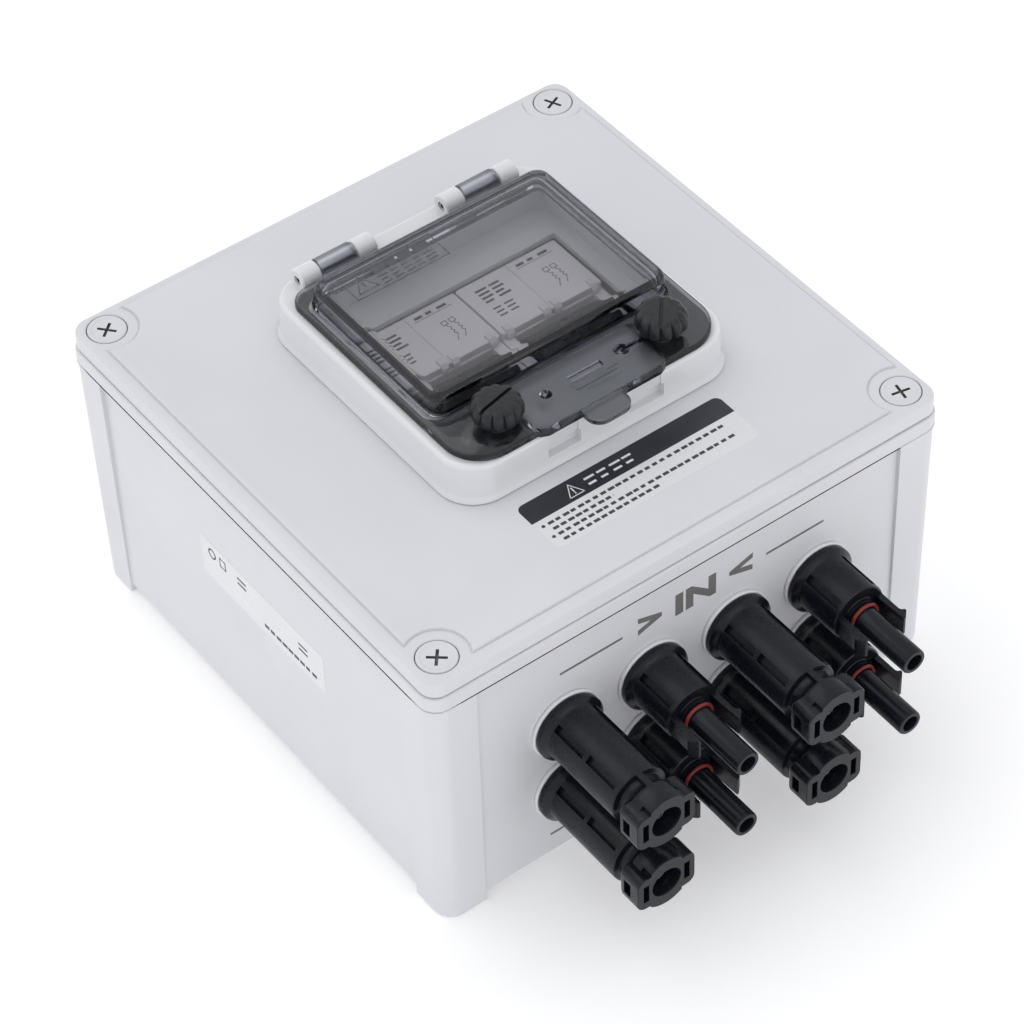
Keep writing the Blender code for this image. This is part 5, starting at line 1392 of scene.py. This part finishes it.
# %% Lettering on the walls
def lettering(words, height, width):
    """Generic letters in Blender's own font, made into a thin solid of a given size."""
    curve = bpy.data.curves.new(words, "FONT")
    curve.body = words
    curve.offset = 0.045
    curve.extrude = 0.5
    curve.align_x = "CENTER"
    source = bpy.data.objects.new(words, curve)
    bpy.context.scene.collection.objects.link(source)
    bpy.context.view_layer.update()
    letters = bmesh.new()
    letters.from_mesh(bpy.data.meshes.new_from_object(source))
    bmesh.ops.remove_doubles(letters, verts=letters.verts, dist=1e-5)
    bpy.data.objects.remove(source)
    bpy.data.curves.remove(curve)
    obj = new_object(words, letters)
    mesh = obj.data
    xs = [v.co.x for v in mesh.vertices]
    ys = [v.co.y for v in mesh.vertices]
    mesh.transform(Matrix.Diagonal((width / (max(xs) - min(xs)), height / (max(ys) - min(ys)),
                                    0.06, 1))
                   @ Matrix.Translation((-(max(xs) + min(xs)) / 2, -(max(ys) + min(ys)) / 2, 0)))
    return obj


def on_wall(marks, middle_x, middle_z, side):
    """Stands flat marks up on the input wall (side -1) or the output wall (side 1)."""
    turn = Matrix.Rotation(0 if side < 0 else pi, 4, "Z") @ Matrix.Rotation(pi / 2, 4, "X")
    return [placed(obj, at(middle_x, side * WALL, middle_z) @ turn) for obj in marks]


rules = ink_line([(-46.1, -0.4), (-25.7, -0.4)], 0.85, -0.03, 0.03)
rules += ink_line([(25.2, -0.4), (44.9, -0.4)], 0.85, -0.03, 0.03)
rules += ink_line([(-51.0, -64.0), (44.9, -64.0)], 0.85, -0.03, 0.03)
ins = on_wall([lettering("> IN <", 8.2, 40.0)] + rules, 1.4, 74.5, -1)
outs = on_wall([lettering("OUT", 8.2, 25.0)]
               + ink_line([(-36, 0), (-18, 0)], 0.6, -0.03, 0.03)
               + ink_line([(18, 0), (36, 0)], 0.6, -0.03, 0.03), 0, 58, 1)
for marks, name in ((ins, "input_print"), (outs, "output_print")):
    printed(marks, name, "base_enclosure", ink_grey)
print("wall print done")

# %% [markdown]
# ### Side sticker
# A pale sticker on the left wall carries generic marks: a ring, a box, bars and a row of print.

# %% Side sticker
def on_side(obj):
    """Stands a flat mark up on the wall at -X, its right end towards the input wall."""
    return placed(obj, at(-WALL, 0) @ Matrix.Rotation(-pi / 2, 4, "Z")
                  @ Matrix.Rotation(pi / 2, 4, "X"))


sticker = on_side(loft([(span(-27.1, 33.4, 48, 63, 0.8), -0.02),
                        (span(-27.1, 33.4, 48, 63, 0.8), 0.06)]))
finished(sticker, "side_sticker", "base_enclosure", label_white, smooth=False)
marks = [prism(circle(1.9, 28, -21.5, 58.8), 0.03, 0.09)]
cut(marks[0], prism(circle(1.35, 28, -21.5, 58.8), 0, 1))
marks += ink_line([(-17.5, 57.2), (-17.5, 60.4), (-14.8, 60.4), (-14.8, 57.2), (-17.5, 57.2)],
                  0.4, 0.03, 0.09)
for x, y in ((-8.4, 59.8), (-8.4, 57.8), (21.6, 58.6), (21.6, 56.6)):
    marks += ink_line([(x, y), (x + 3.6, y)], 0.7, 0.03, 0.09)
row = grown(print_lines, ink_dark, None, Lines=1, Words=9, Width=26.0, Line_pitch=2.0,
            Letter_height=1.2, Shortest=0.6, Longest=0.85, Thickness=0.06, Seed=11)
marks.append(placed(row, at(4.0, 51.2, 0.06)))
printed([on_side(obj) for obj in marks], "sticker_print", "base_enclosure", ink_dark)
print("side sticker done")

# %% [markdown]
# ### Mark on the cover
# A frame, a triangle and bars are moulded on the dome, in a smoke tone a little darker than it.

# %% Mark on the cover
MARK = (DOME + 0.01, DOME + 0.07)
frame_line = [(-30.4, 22.6), (0.6, 22.6), (0.6, 33.0), (-30.4, 33.0), (-30.4, 22.6)]
marks = ink_line(frame_line, 0.3, *MARK)
triangle = [(-28.7, 24.4), (-22.3, 24.4), (-25.5, 30.4)]
marks += ink_line(triangle + triangle[:1], 0.35, *MARK)
marks += ink_line([(-25.5, 28.0), (-25.5, 26.4)], 0.5, *MARK)
marks += [block(x, x + w, 28.6, 31.4, *MARK)
          for x, w in ((-20.5, 4.0), (-15.6, 3.0), (-11.7, 4.2), (-6.6, 5.0))]
rows = grown(print_lines, smoke_clear, None, Lines=3, Words=5, Width=19.0, Line_pitch=1.5,
             Letter_height=0.6, Shortest=0.55, Longest=0.9, Thickness=0.06, Seed=7)
marks.append(placed(rows, at(-20.5, 27.0, DOME + 0.04)))
printed(marks, "cover_mark", "window_cover", smoke_ink)
print("cover mark done")
